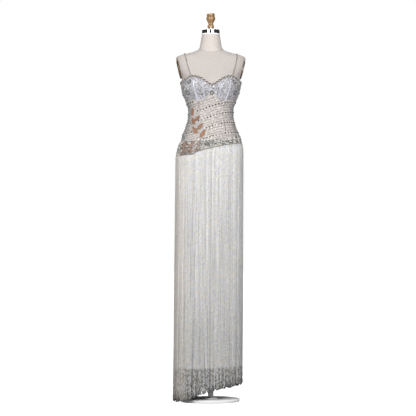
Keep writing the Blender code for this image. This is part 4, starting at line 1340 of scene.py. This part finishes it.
def cup_beading(colours, sizes, beads, stones):
    """Beads along curling lines over the cups, two rosettes on each cup and one between them.

    The lines are level curves of a sum of sines of angle and height, picked from a close grid of places.
    """
    random = np.random.default_rng(SEED + 2)
    angle, height = np.meshgrid(
        np.arange(-CUP_REACH, CUP_REACH, sizes.seed_bead * 0.92 / CUP_RADIUS),
        np.arange(1.495, 1.625, sizes.seed_bead * 0.95),
    )
    angle, height = angle.ravel(), height.ravel()
    x, z = angle * CHEST_RADIUS / CURL, height / CURL
    swirl = np.sin(1.3 * x + 1.7 * np.sin(0.9 * z)) + np.sin(1.1 * z + 1.9 * np.sin(0.8 * x + 1.0))
    line = np.abs((swirl * 1.1) % 1.0 - 0.5) < 0.17
    aside = np.abs(angle)
    channel = np.abs(aside - PRINCESS) < 0.0075 / CUP_RADIUS
    channel |= np.abs(aside - INNER_CHANNEL) < 0.005 / 0.115
    keep = line & ~channel & (height > cup_edge(angle) + 0.002) & (height < neckline(angle) - 0.0105)
    places = [(side * math.radians(turn), at) for turn, at in CUP_ROSETTES for side in (-1, 1)]
    places.append((0.0, MIDDLE_ROSETTE))
    for centre, at in places:
        keep &= np.hypot((angle - centre) * CUP_RADIUS, height - at) > ROSETTE_RADIUS
    angle, height = angle[keep], height[keep]
    spots = on_cloth(angle, height, sizes.seed_bead * 0.34)
    tone = patch_luck(angle, height, PATCH, random)[:, None]
    tints = np.where(tone < 0.4, scaled(colours.dark, 2.4), tuple(colours.silver))
    tints = np.where(tone > 0.85, (0.88, 0.87, 0.92), tints)
    tints = uneven(tints, len(angle), random, 0.2)
    scatter("cup_beads", bead_shape(), spots, sizes.seed_bead, tints, beads, "beaded_cloth")
    rosettes(places, colours, random, beads, stones)


def band_colours(at, base, row, colours):
    """Colours of one row of the band's beads.

    Dark, silver and pale beads lie in patches, copper ones follow curling lines on the wearer's right, and
    the lowest row is dark.
    """
    if row == 0:
        return np.broadcast_to(np.array(colours.dark), (len(at), 3))
    tone = patch_luck(at, base, PATCH, np.random.default_rng(SEED + 30))[:, None]
    scroll = patch_luck(at, base, SCROLL_PATCH, np.random.default_rng(SEED + 31))[:, None]
    share = ((base - band_edge(at, "lower")) / 0.07)[:, None]
    around = half_turned(at)[:, None]
    curl = np.sin(around * 13 + 2.2 * np.sin(share * 6)) * np.cos(share * 9 + around * 5)
    copper = (around > -1.22) & (around < -0.50) & (tone > 0.34)
    copper &= (np.abs(curl) < 0.42) | (scroll > 0.62)
    colour = np.where(tone < 0.36, scaled(colours.dark, 2.0), (0.72, 0.66, 0.585))
    colour = np.where(tone > 0.72, (0.93, 0.88, 0.80), colour)
    return np.where(copper, scaled(colours.copper, 1.02), colour)


def hip_band(colours, sizes, beads, stones):
    """The slanted band: a firm strip covered with beads in close rows, and a zigzag of small dark stones."""
    random = np.random.default_rng(SEED + 3)
    gap = half_seam(SEAM, HIP_RADIUS)
    backing = satin_finish("band_backing", scaled(colours.side, 0.6))
    shares = np.linspace(0, 1, 9)
    section = [(share, BAND_FACE) for share in shares] + [(share, BAND_BACK) for share in shares[::-1]]
    for half, start, end in halves(gap):
        angle = np.linspace(start, end, 121)
        lower, upper = band_edge(angle, "lower"), band_edge(angle, "upper")
        rings = strip_rings(angle, [(lower + (upper - lower) * share, out) for share, out in section])
        cut = flat_map(np.array([share for share, _ in section]) * 0.06, angle[:, None] * HIP_RADIUS)
        stand_for(lofted(f"hip_band_{half}_strip", rings, backing, cut), f"hip_band_{half}")

        middle = even_angles(waist_seam, sizes.band_bead * 0.97, start, end)
        step = (middle[1] - middle[0]) / 2
        spots, tints = [], []
        for row in range(BAND_ROWS):
            at = middle + step * (row % 2)
            base = band_edge(at, "lower") + sizes.band_bead * (0.35 + 0.87 * row)
            keep = (base < band_edge(at, "upper") - sizes.band_bead * 0.35) & (at < end)
            at, base = at[keep], base[keep]
            if len(at):
                spots.append(on_cloth(at, base, BAND_FACE + 0.0009))
                tints.append(uneven(band_colours(at, base, row, colours), len(at), random, 0.22, top=0.95))
        name, tints = f"hip_band_{half}_beads", np.concatenate(tints)
        scatter(name, bead_shape(), joined(*spots), sizes.band_bead, tints, beads, "bead_trim")

        line = even_angles(waist_seam, 0.0085, start, end)
        share = 0.5 + 0.26 * np.array((-1, 0, 1, 0))[np.arange(len(line)) % 4]
        lower, upper = band_edge(line, "lower"), band_edge(line, "upper")
        spots = on_cloth(line, lower + (upper - lower) * share, 0.0038)
        name, tints = f"hip_band_{half}_stones", tinted((0.03, 0.03, 0.033), len(line), random, 0.5)
        scatter(name, stone_shape(), spots, sizes.stone * 0.75, tints, stones, "bead_trim", smooth=False)


def leaf_spray(colours, beads):
    """Pointed leaves laid on the waist, the copper ones in place of the solids and pale ones between them.

    A leaf's width is a sine of the share of its length, and its section is a low arch with a crease.
    """
    copper_finish = leaf_finish("copper_leaf", scaled(colours.copper, 0.86))
    cream_finish = leaf_finish("cream_leaf", (0.50, 0.48, 0.47))
    random = np.random.default_rng(SEED + 4)
    along = np.linspace(LEAF_START, LEAF_END, 34)[:, None]
    aside = np.linspace(-1, 1, 15)
    aside_below = aside[::-1][1:-1]
    lift = 0.0010 + 0.0014 * (1 - np.abs(aside) ** 3) - 0.0006 * np.exp(-((aside / 0.12) ** 2))
    for leaf in LEAVES + CREAM_LEAVES:
        copper = leaf in LEAVES
        angle, turn = math.radians(leaf.angle), math.radians(leaf.turn)
        radius = float(form_radius(angle, leaf.height))
        half = leaf_half_width(leaf, along)

        def on_leaf(aside_at, lift_at):
            """Spots all along the leaf, at these shares of its half width."""
            reach, offset = along * leaf.length, aside_at * half
            right = reach * math.cos(turn) - offset * math.sin(turn)
            rise = reach * math.sin(turn) + offset * math.cos(turn)
            return on_cloth(angle + right / radius, leaf.height + rise, lift_at)

        rings = np.concatenate([on_leaf(aside, lift).point, on_leaf(aside_below, 0.0008).point], axis=1)
        cut = flat_map(np.concatenate([aside, aside_below]) * half, along * leaf.length)
        made = lofted(f"{leaf.node}_satin", rings, copper_finish if copper else cream_finish, cut)
        slot = slot_of(leaf.node) if copper else "beaded_cloth"
        if copper:
            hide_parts(leaf.node)
        edge = [on_leaf(side * 1.03, 0.0016) for side in (-1.0, 1.0)]
        spots = Spot(*(np.concatenate([field[:, 0] for field in fields]) for fields in zip(*edge)))
        tints = tinted(scaled(colours.copper, 0.4) if copper else colours.silver, len(spots.point), random)
        scatter(f"{leaf.node}_beads", bead_shape(), spots, 0.0016, tints, beads, slot)


def surface_hit(x, height, tilt):
    """Where rays in planes at x leave the form, by halving: each starts at a height, turned up by tilt."""
    start = np.stack(np.broadcast_arrays(x, 0.0, height), axis=-1)
    step = np.stack(np.broadcast_arrays(0.0, -np.cos(tilt), np.sin(tilt)), axis=-1)
    inside, outside = np.zeros(len(step)), np.full(len(step), 0.3)
    for _ in range(24):
        reach = (inside + outside) / 2
        point = start + reach[:, None] * step
        radius = form_radius(np.arctan2(point[:, 0], -point[:, 1]), point[:, 2])
        within = np.hypot(point[:, 0], point[:, 1]) < radius
        inside, outside = np.where(within, reach, inside), np.where(within, outside, reach)
    return start + inside[:, None] * step


def strap_route(side, count):
    """Spots along a strap, from the front neckline over the shoulder to the back neckline."""
    ends = []
    for angle in (STRAP_FRONT, STRAP_BACK):
        height = float(neckline(angle)) + 0.0010 + 0.0018
        ends.append(round_axis(angle, form_radius(angle, height), height))
    tilts = [math.atan2(end[2] - STRAP_PIVOT, -end[1]) % (2 * math.pi) for end in ends]
    tilts[0] -= 2 * math.pi if tilts[0] > math.pi else 0
    share = np.linspace(0, 1, count)
    tilt = tilts[0] + (tilts[1] - tilts[0]) * share
    straight = ends[0][0] + (ends[1][0] - ends[0][0]) * share
    x = straight + (STRAP_SHOULDER - straight) * np.sin(math.pi * share) ** 0.8
    point = surface_hit(x, STRAP_PIVOT, tilt)
    ahead = surface_hit(x, STRAP_PIVOT, tilt + math.radians(1))
    aside = surface_hit(x + 0.0018, STRAP_PIVOT, tilt)
    normal = unit(np.cross(aside - point, ahead - point))
    point = point + normal * STRAP_LIFT
    mirror = np.array((side, 1, 1))
    along = unit(np.gradient(point, axis=0)) * mirror
    out = normal * mirror
    return Spot(point * mirror, along, np.cross(out, along), out)


def straps(colours, sizes, beads):
    """Each strap is a cord strung with beads: the cord is a thin tube along the route."""
    random = np.random.default_rng(SEED + 5)
    cord = satin_finish("strap_cord", scaled(colours.side, 0.5))
    for side, name in SIDES:
        node = f"strap_{name}"
        fine = strap_route(side, 400)
        length = path_lengths(fine.point)
        count = int(length[-1] / (sizes.strap_bead * 0.92))
        at = (np.arange(count) + 0.5) / count * length[-1]
        spots = Spot(
            *(np.stack([np.interp(at, length, field[:, k]) for k in range(3)], axis=1) for field in fine)
        )
        dark = tinted(colours.dark, count, random)
        silver = tinted(scaled(colours.silver, 0.42), count, random)
        tints = np.where((np.arange(count) % 3 == 0)[:, None], dark, silver)
        shape = bead_shape()
        stringing = scatter(f"{node}_beads", shape, spots, sizes.strap_bead, tints, beads, slot_of(node))
        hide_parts(node)
        route = strap_route(side, 90)
        turn = np.linspace(0, 2 * math.pi, 6, endpoint=False)
        turn_up, turn_out = np.cos(turn)[None, :, None], np.sin(turn)[None, :, None]
        ring = turn_up * route.up[:, None] + turn_out * route.out[:, None]
        cut = flat_map(turn * CORD_RADIUS, np.linspace(0, length[-1], 90)[:, None])
        thread = lofted(f"{node}_cord", route.point[:, None] + CORD_RADIUS * ring, cord, cut)


def soft_troughs(angle, height, random):
    """Depth of a few long vertical creases that fade in at the hips, uneven in width, length and place."""
    depth = np.zeros(np.broadcast(angle, height).shape)
    for centre in np.linspace(-SIDE, SIDE, 9)[1:-1] + random.uniform(-0.12, 0.12, 7):
        width = random.uniform(0.035, 0.07)
        deep = random.uniform(0.0008, 0.0020)
        lean = random.uniform(-0.05, 0.05)
        top = random.uniform(0.7, 1.1)
        fade = np.clip((top - height) / 0.35, 0, 1)
        depth += deep * fade * np.exp(-(((angle - centre - lean * height) / width) ** 2))
    return depth


def layer_of_fringe(start, end, count, layer, sizes, random):
    """Centre lines of one layer of strands, and how light each point of them is.

    A strand hangs along the cloth's face. Below the underskirt the outer layer's strands lean towards the
    middle of their lock and wave: sideways they move by lean (middle - place) + swing sin(height / wave),
    growing down from the hem. The inner layer (0) hangs straighter and is painted darker, as painted shade,
    since it lies in the shade. All strands get painted shade that darkens them towards their tips, and those
    at the wearer's far right stay lighter above them.
    """
    roots = even_angles(lambda at: np.full_like(at, SKIRT_MIDDLE), 0.001, start, end)
    place = (np.arange(count) + 0.5 + 0.5 * layer) / (count + 0.5 * layer)
    place = np.clip(place + random.uniform(-0.25, 0.25, count) / count, 0.001, 0.999)
    angle = np.interp(place, np.linspace(0, 1, len(roots)), roots)
    lock_count = count // STRANDS_IN_LOCK
    edges = (np.arange(1, lock_count) + random.uniform(-0.35, 0.35, lock_count - 1)) / lock_count
    lock = np.searchsorted(edges, place)
    bounds = np.concatenate([[0], edges, [1]])
    lock_middle = (bounds[:-1] + bounds[1:]) / 2

    def per_lock(low, high):
        return random.uniform(low, high, lock_count)[lock][:, None]

    sway, wave = per_lock(0, 2 * math.pi), per_lock(0.024, 0.046)
    recess, drop, tone = per_lock(-0.0008, 0.0010), per_lock(-0.007, 0.006), per_lock(0.76, 1.18)
    tip = from_table(TIPS, "side", "height", np.sin(angle)) + random.uniform(-0.003, 0.003, count)
    tip = np.maximum(tip + drop[:, 0] * (1.0 if layer else 0.5) - (0.0 if layer else 0.002), 0.004)
    root = (band_edge(angle, "lower") - SEAM)[:, None]
    tip = tip[:, None]
    hem_at = hem(angle)[:, None]
    shares = [np.linspace(0, 1, 5)[:-1], np.linspace(0, 1, 7)[:-1], np.linspace(0, 1, 15)]
    height = np.concatenate(
        [
            root + (FRINGE_HIP - root) * shares[0],
            FRINGE_HIP + (hem_at + 0.003 - FRINGE_HIP) * shares[1],
            hem_at + 0.003 + np.zeros((count, 1)),
            hem_at - 0.004 + (tip - hem_at + 0.004) * shares[2],
        ],
        axis=1,
    )
    below = np.clip((hem_at + 0.003 - height) / 0.007, 0, 1)
    grown = np.clip((hem_at - height) / (hem_at - 0.05), 0, 1)
    lean = (lock_middle[lock] - place)[:, None] * HALF_GIRTH * (0.42 if layer else 0.0)
    swing = (0.0013 if layer else 0.0008) * np.sin(2 * math.pi * height / wave + sway)
    curl = 0.0005 * np.sin(2 * math.pi * height / 0.023 + random.uniform(0, 6, count)[:, None])
    drift = 0.0010 * np.sin(2 * math.pi * height / random.uniform(0.5, 1.4, count)[:, None] + sway)
    sideways = grown * (lean + swing + curl) + drift * np.clip((1.15 - height) / 0.2, 0, 1)
    out = FRINGE_LIFT + sizes.strand * 0.45 + layer * (sizes.strand * 0.85 + 0.0007 + recess)
    out = out + grown * layer * 0.0022 * np.sin(2 * math.pi * height / wave + sway * 2)
    out = np.maximum(out, FRINGE_LIFT + sizes.strand * (0.4 + 0.5 * layer))
    near_tip = np.clip((tip + 0.040 - height) / 0.035, 0, 1)
    full_shade = np.clip((np.sin(angle)[:, None] + 0.86) / 0.06, 0, 1)
    below = below * (0.35 + 0.65 * np.maximum(full_shade, near_tip))
    # painted shade: the inner layer everywhere, and every strand below the hem and more near its tip, is made
    # darker; a random tone per strand is added
    if layer:
        light = (1 - below * (1 - 0.80 * tone)) * (1 - 0.34 * near_tip * below)
    else:
        light = (0.90 - below * 0.64) * (1 - 0.5 * near_tip * below)
    light = light * (1 + (0.05 + 0.12 * below) * random.standard_normal(count)[:, None])
    spots = on_cloth(angle[:, None], height, out)
    point = spots.point + spots.across * sideways[..., None]
    return Spot(point, spots.across, spots.up, spots.out), height, np.clip(light, 0.05, 1)


def strand_layer(centre_lines, layer, number, first, sizes, random):
    """Four-sided skins of one layer's strands: points, faces numbered from first, UV places and tints."""
    spots, height, light = centre_lines
    count, levels = height.shape
    thinnest, thickest = (0.85, 1.12) if layer else (1.0, 1.16)
    thick = sizes.strand * random.uniform(thinnest, thickest, count)[:, None, None]
    corner = np.array(((1, -1), (1, 1), (-1, 1), (-1, -1))) * 0.5
    ring = (
        spots.across[:, :, None] * corner[None, None, :, 0:1] * thick[..., None]
        + spots.out[:, :, None] * corner[None, None, :, 1:2] * thick[..., None] * 0.85
    )
    start_at = first + 4 * levels * np.arange(count)[:, None, None]
    ends = np.array(((3, 2, 1, 0), tuple(4 * (levels - 1) + k for k in range(4))))
    faces = [(some[None] + start_at).reshape(-1, 4) for some in (grid_faces(levels, 4, wrap=True), ends)]
    strand_number = np.arange(count)[:, None, None] + 0.5 + layer * 1000 + number * 3000
    beads_along = (height[:, :, None] / FRINGE_BEAD) + random.random(count)[:, None, None]
    cut = np.stack(np.broadcast_arrays(strand_number, beads_along + np.zeros(4)), axis=-1).reshape(-1, 2)
    # the tints carry the painted shade of each point
    tints = np.broadcast_to(light[:, :, None, None], (count, levels, 4, 3)).reshape(-1, 3)
    return (spots.point[:, :, None] + ring).reshape(-1, 3), faces, cut, tints


def fringe(colours, sizes):
    """Bead fringe in two layers under a narrow tape, front and back; gives the pieces of each half."""
    finish = fringe_finish(colours.fringe)
    tape = fringe_tape_finish(colours.fringe)
    gap = half_seam(SEAM, HIP_RADIUS)
    made = {}
    for number, (half, start, end) in enumerate(halves(gap)):
        random = np.random.default_rng(SEED + 6 + number)
        points, faces, cuts, tints, first = [], [], [], [], 0
        for layer in (0, 1):
            lines = layer_of_fringe(start, end, sizes.strands, layer, sizes, random)
            skin, sides, cut, tint = strand_layer(lines, layer, number, first, sizes, random)
            points.append(skin)
            faces.extend(sides)
            cuts.append(cut)
            tints.append(tint)
            first += len(skin)
        points, cuts, tints = (np.concatenate(some) for some in (points, cuts, tints))
        hanging = new_object(f"fringe_strands_{half}", points, faces, finish, tint=tints, cut=cuts)
        stand_for(hanging, f"fringe_{half}")
        angle = np.linspace(start, end, 161)
        top = band_edge(angle, "lower") - SEAM
        rings = strip_rings(angle, [(top + up, out) for up, out in FRINGE_TAPE_SECTION])
        strip = lofted(f"fringe_tape_{half}", rings, tape)
        made[half] = [hanging, strip]
    return made


def underskirt(colours, fringes):
    """The narrow tube of cloth under the fringe, front and back, from the hip seam to its own hem."""
    finish = underskirt_finish(colours.fringe)
    gap = half_seam(SEAM, HIP_RADIUS)
    for half, start, end in halves(gap):
        random = np.random.default_rng(SEED + 9)
        angle = np.linspace(start, end, 101)
        low, high = hem(angle), waist_seam(angle) - PANEL_SEAM / 2
        height = low + (high - low) * np.linspace(0, 1, 90)[:, None]
        local = np.broadcast_to(angle - (start + end) / 2, height.shape)
        depth = soft_troughs(local, height, random)
        angle = np.broadcast_to(angle, height.shape)
        grid = on_cloth(angle, height, -depth).point
        cut = np.stack((angle * HIP_RADIUS, height - low), axis=-1)
        name, node = f"underskirt_{half}_cloth", f"underskirt_{half}"
        cloth_sheet(name, grid, cut, finish, 0.0010, node)


def zip_closure():
    """Zip at the centre back: a chain of interlocking teeth, and the CAD slider and pull tab in zip metal."""
    metal = metal_finish()
    for node in ("zip_slider", "zip_tab"):
        mesh = frame["nodes"][node].data
        mesh.materials.clear()
        mesh.materials.append(metal)
    low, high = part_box("zip_chain")
    heights = np.arange(low.z + 0.001, high.z - 0.0005, TOOTH_PITCH)
    side = np.where(np.arange(len(heights)) % 2, 1.0, -1.0)
    tooth = np.array([(x, y, z) for z in (-0.5, 0.5) for x, y in ((-1, -1), (1, -1), (1, 1), (-1, 1))], float)
    tooth *= TOOTH_SIZE
    spots = on_cloth(np.full(len(heights), BACK), heights, -0.0007)
    shifted = spots.point + spots.across * (side * TOOTH_ASIDE)[:, None]
    points, faces = copies(
        loft(tooth.reshape(2, 4, 3)), Spot(shifted, spots.across, spots.out, -spots.up), 1.0
    )
    teeth = new_object("zip_teeth", points, faces, metal, smooth=False)
    stand_for(teeth, "zip_chain")


def camera():
    """Level camera at the photograph's place and angle."""
    data = bpy.data.cameras.new("photo_camera")
    data.sensor_width = SENSOR
    data.lens = SENSOR * VIEW_DISTANCE / (2 * VIEW_HALF_WIDTH)
    made = bpy.data.objects.new("photo_camera", data)
    bpy.context.scene.collection.objects.link(made)
    eye = Vector(
        (-VIEW_DISTANCE * math.sin(VIEW_TURN) + VIEW_SIDE, -VIEW_DISTANCE * math.cos(VIEW_TURN), VIEW_HEIGHT)
    )
    ahead = Vector((math.sin(VIEW_TURN), math.cos(VIEW_TURN), 0))
    made.matrix_world = Matrix.Translation(eye) @ ahead.to_track_quat("-Z", "Y").to_matrix().to_4x4()
    bpy.context.scene.camera = made


def softbox(name, place, target, width, height, power):
    """A rectangular light at a place, turned to a target."""
    data = bpy.data.lights.new(name, "AREA")
    data.shape = "RECTANGLE"
    data.size = width
    data.size_y = height
    data.energy = power
    made = bpy.data.objects.new(name, data)
    bpy.context.scene.collection.objects.link(made)
    aim = (Vector(target) - Vector(place)).to_track_quat("-Z", "Y")
    made.matrix_world = Matrix.Translation(place) @ aim.to_matrix().to_4x4()


def surround():
    """A white surround to the camera that lights the gown only dimly."""
    world = bpy.data.worlds.new("surround")
    world.use_nodes = True
    tree = world.node_tree
    back = tree.nodes["Background"]
    seen = Field(tree).node("ShaderNodeLightPath")
    mirrored = Field(tree, seen.socket.node.outputs["Is Glossy Ray"])
    dim = mirrored.mix((0.20, 0.205, 0.215), (0.06, 0.06, 0.065))
    tree.links.new(seen.mix(dim, (1.0, 1.0, 1.0)).socket, back.inputs["Color"])
    bpy.context.scene.world = world


def floor():
    """Wide pale floor at the base plate's underside, which throws no light back on the gown."""
    made, field = material("floor", roughness=0.9, Emission_Strength=1.0)
    shade = place_of(field).noise(3.0, 2.0)
    paint(made, Base_Color=shade.mix((0.84, 0.84, 0.84), (0.90, 0.90, 0.90)))
    made.node_tree.nodes["Principled BSDF"].inputs["Emission Color"].default_value = (1, 1, 1, 1)
    reach = 14.0
    points = np.array(((-reach, -reach, 0), (reach, -reach, 0), (reach, reach, 0), (-reach, reach, 0)), float)
    mesh = bpy.data.meshes.new("floor")
    mesh.from_pydata(points.tolist(), [], [(0, 1, 2, 3)])
    mesh.materials.append(made)
    ground = bpy.data.objects.new("floor", mesh)
    bpy.context.scene.collection.objects.link(ground)
    ground.location.z = -0.0005
    ground.visible_diffuse = False
    ground.visible_glossy = False


def shared(name, make):
    """A material that several pieces use, made once."""
    return bpy.data.materials.get(name) or make()


class GOWN_OT_stage(bpy.types.Operator):
    """Makes the camera, three softboxes, the white surround and the floor"""

    bl_idname = "gown.stage"
    bl_label = "Camera, lights and floor"

    def execute(self, context):
        context.scene.view_settings.view_transform = "Standard"
        camera()
        softbox("softbox_left", (-1.55, -2.55, 2.08), (0, 0, 1.15), 1.25, 1.5, 74)
        softbox("softbox_right", (1.08, -2.82, 2.08), (0, 0, 1.15), 1.40, 1.5, 74)
        softbox("softbox_back", (0.0, 2.80, 3.60), (0, 0, 1.20), 1.40, 1.5, 90)
        surround()
        floor()
        return {"FINISHED"}


class GOWN_OT_form(bpy.types.Operator):
    """Makes the linen body, the arm plates, the neck cap, the finial and the stand"""

    bl_idname = "gown.form"
    bl_label = "Dress form and stand"

    def execute(self, context):
        colours = context.scene.gown_colours
        dress_form(colours)
        arm_plates(colours)
        neck_and_finial(colours)
        stand()
        return {"FINISHED"}


class GOWN_OT_bodice(bpy.types.Operator):
    """Makes the five bodice panels and the satin boning channels"""

    bl_idname = "gown.bodice"
    bl_label = "Bodice panels"

    def execute(self, context):
        bodice(context.scene.gown_colours)
        channels(context.scene.gown_colours)
        return {"FINISHED"}


class GOWN_OT_beading(bpy.types.Operator):
    """Makes the rows of beads and stones on the midriff and the cups, and the neckline's edging"""

    bl_idname = "gown.beading"
    bl_label = "Beads and stones"

    def execute(self, context):
        colours, sizes = context.scene.gown_colours, context.scene.gown_sizes
        beads, stones = shared("beads", bead_finish), shared("rhinestone", stone_finish)
        neck_edging(colours, sizes, beads)
        midriff_rows(colours, sizes, beads, stones)
        cup_beading(colours, sizes, beads, stones)
        return {"FINISHED"}


class GOWN_OT_hip_band(bpy.types.Operator):
    """Makes the slanted beaded hip band and the spray of leaves above it"""

    bl_idname = "gown.hip_band"
    bl_label = "Hip band and leaves"

    def execute(self, context):
        colours, sizes = context.scene.gown_colours, context.scene.gown_sizes
        beads, stones = shared("beads", bead_finish), shared("rhinestone", stone_finish)
        hip_band(colours, sizes, beads, stones)
        leaf_spray(colours, beads)
        return {"FINISHED"}


class GOWN_OT_straps(bpy.types.Operator):
    """Makes the two beaded straps"""

    bl_idname = "gown.straps"
    bl_label = "Straps"

    def execute(self, context):
        straps(context.scene.gown_colours, context.scene.gown_sizes, shared("beads", bead_finish))
        return {"FINISHED"}


class GOWN_OT_skirt(bpy.types.Operator):
    """Makes the bead fringe and the underskirt that it hangs over"""

    bl_idname = "gown.skirt"
    bl_label = "Fringe and underskirt"

    def execute(self, context):
        colours, sizes = context.scene.gown_colours, context.scene.gown_sizes
        underskirt(colours, fringe(colours, sizes))
        return {"FINISHED"}


class GOWN_OT_zip(bpy.types.Operator):
    """Makes the zip at the centre back"""

    bl_idname = "gown.zip"
    bl_label = "Zip"

    def execute(self, context):
        zip_closure()
        return {"FINISHED"}


OPERATORS = (
    GOWN_OT_stage,
    GOWN_OT_form,
    GOWN_OT_bodice,
    GOWN_OT_beading,
    GOWN_OT_hip_band,
    GOWN_OT_straps,
    GOWN_OT_skirt,
    GOWN_OT_zip,
)


class GOWN_PT_panel(bpy.types.Panel):
    """Lists the gown's pieces, sizes and colours"""

    bl_idname = "GOWN_PT_panel"
    bl_label = "Fringed Evening Gown"
    bl_space_type = "VIEW_3D"
    bl_region_type = "UI"
    bl_category = "Gown"

    def draw(self, context):
        for operator in OPERATORS:
            self.layout.operator(operator.bl_idname)
        for group in (context.scene.gown_sizes, context.scene.gown_colours):
            for name in group.__annotations__:
                self.layout.prop(group, name)


CLASSES = (GownSizes, GownColours, *OPERATORS, GOWN_PT_panel)


def register():
    for kind in CLASSES:
        bpy.utils.register_class(kind)
    bpy.types.Scene.gown_sizes = PointerProperty(type=GownSizes)
    bpy.types.Scene.gown_colours = PointerProperty(type=GownColours)


def unregister():
    del bpy.types.Scene.gown_colours
    del bpy.types.Scene.gown_sizes
    for kind in reversed(CLASSES):
        bpy.utils.unregister_class(kind)


def main():
    register()
    bpy.ops.gown.stage()
    bpy.ops.gown.form()
    bpy.ops.gown.bodice()
    bpy.ops.gown.beading()
    bpy.ops.gown.hip_band()
    bpy.ops.gown.straps()
    bpy.ops.gown.skirt()
    bpy.ops.gown.zip()


if __name__ == "__main__":
    main()
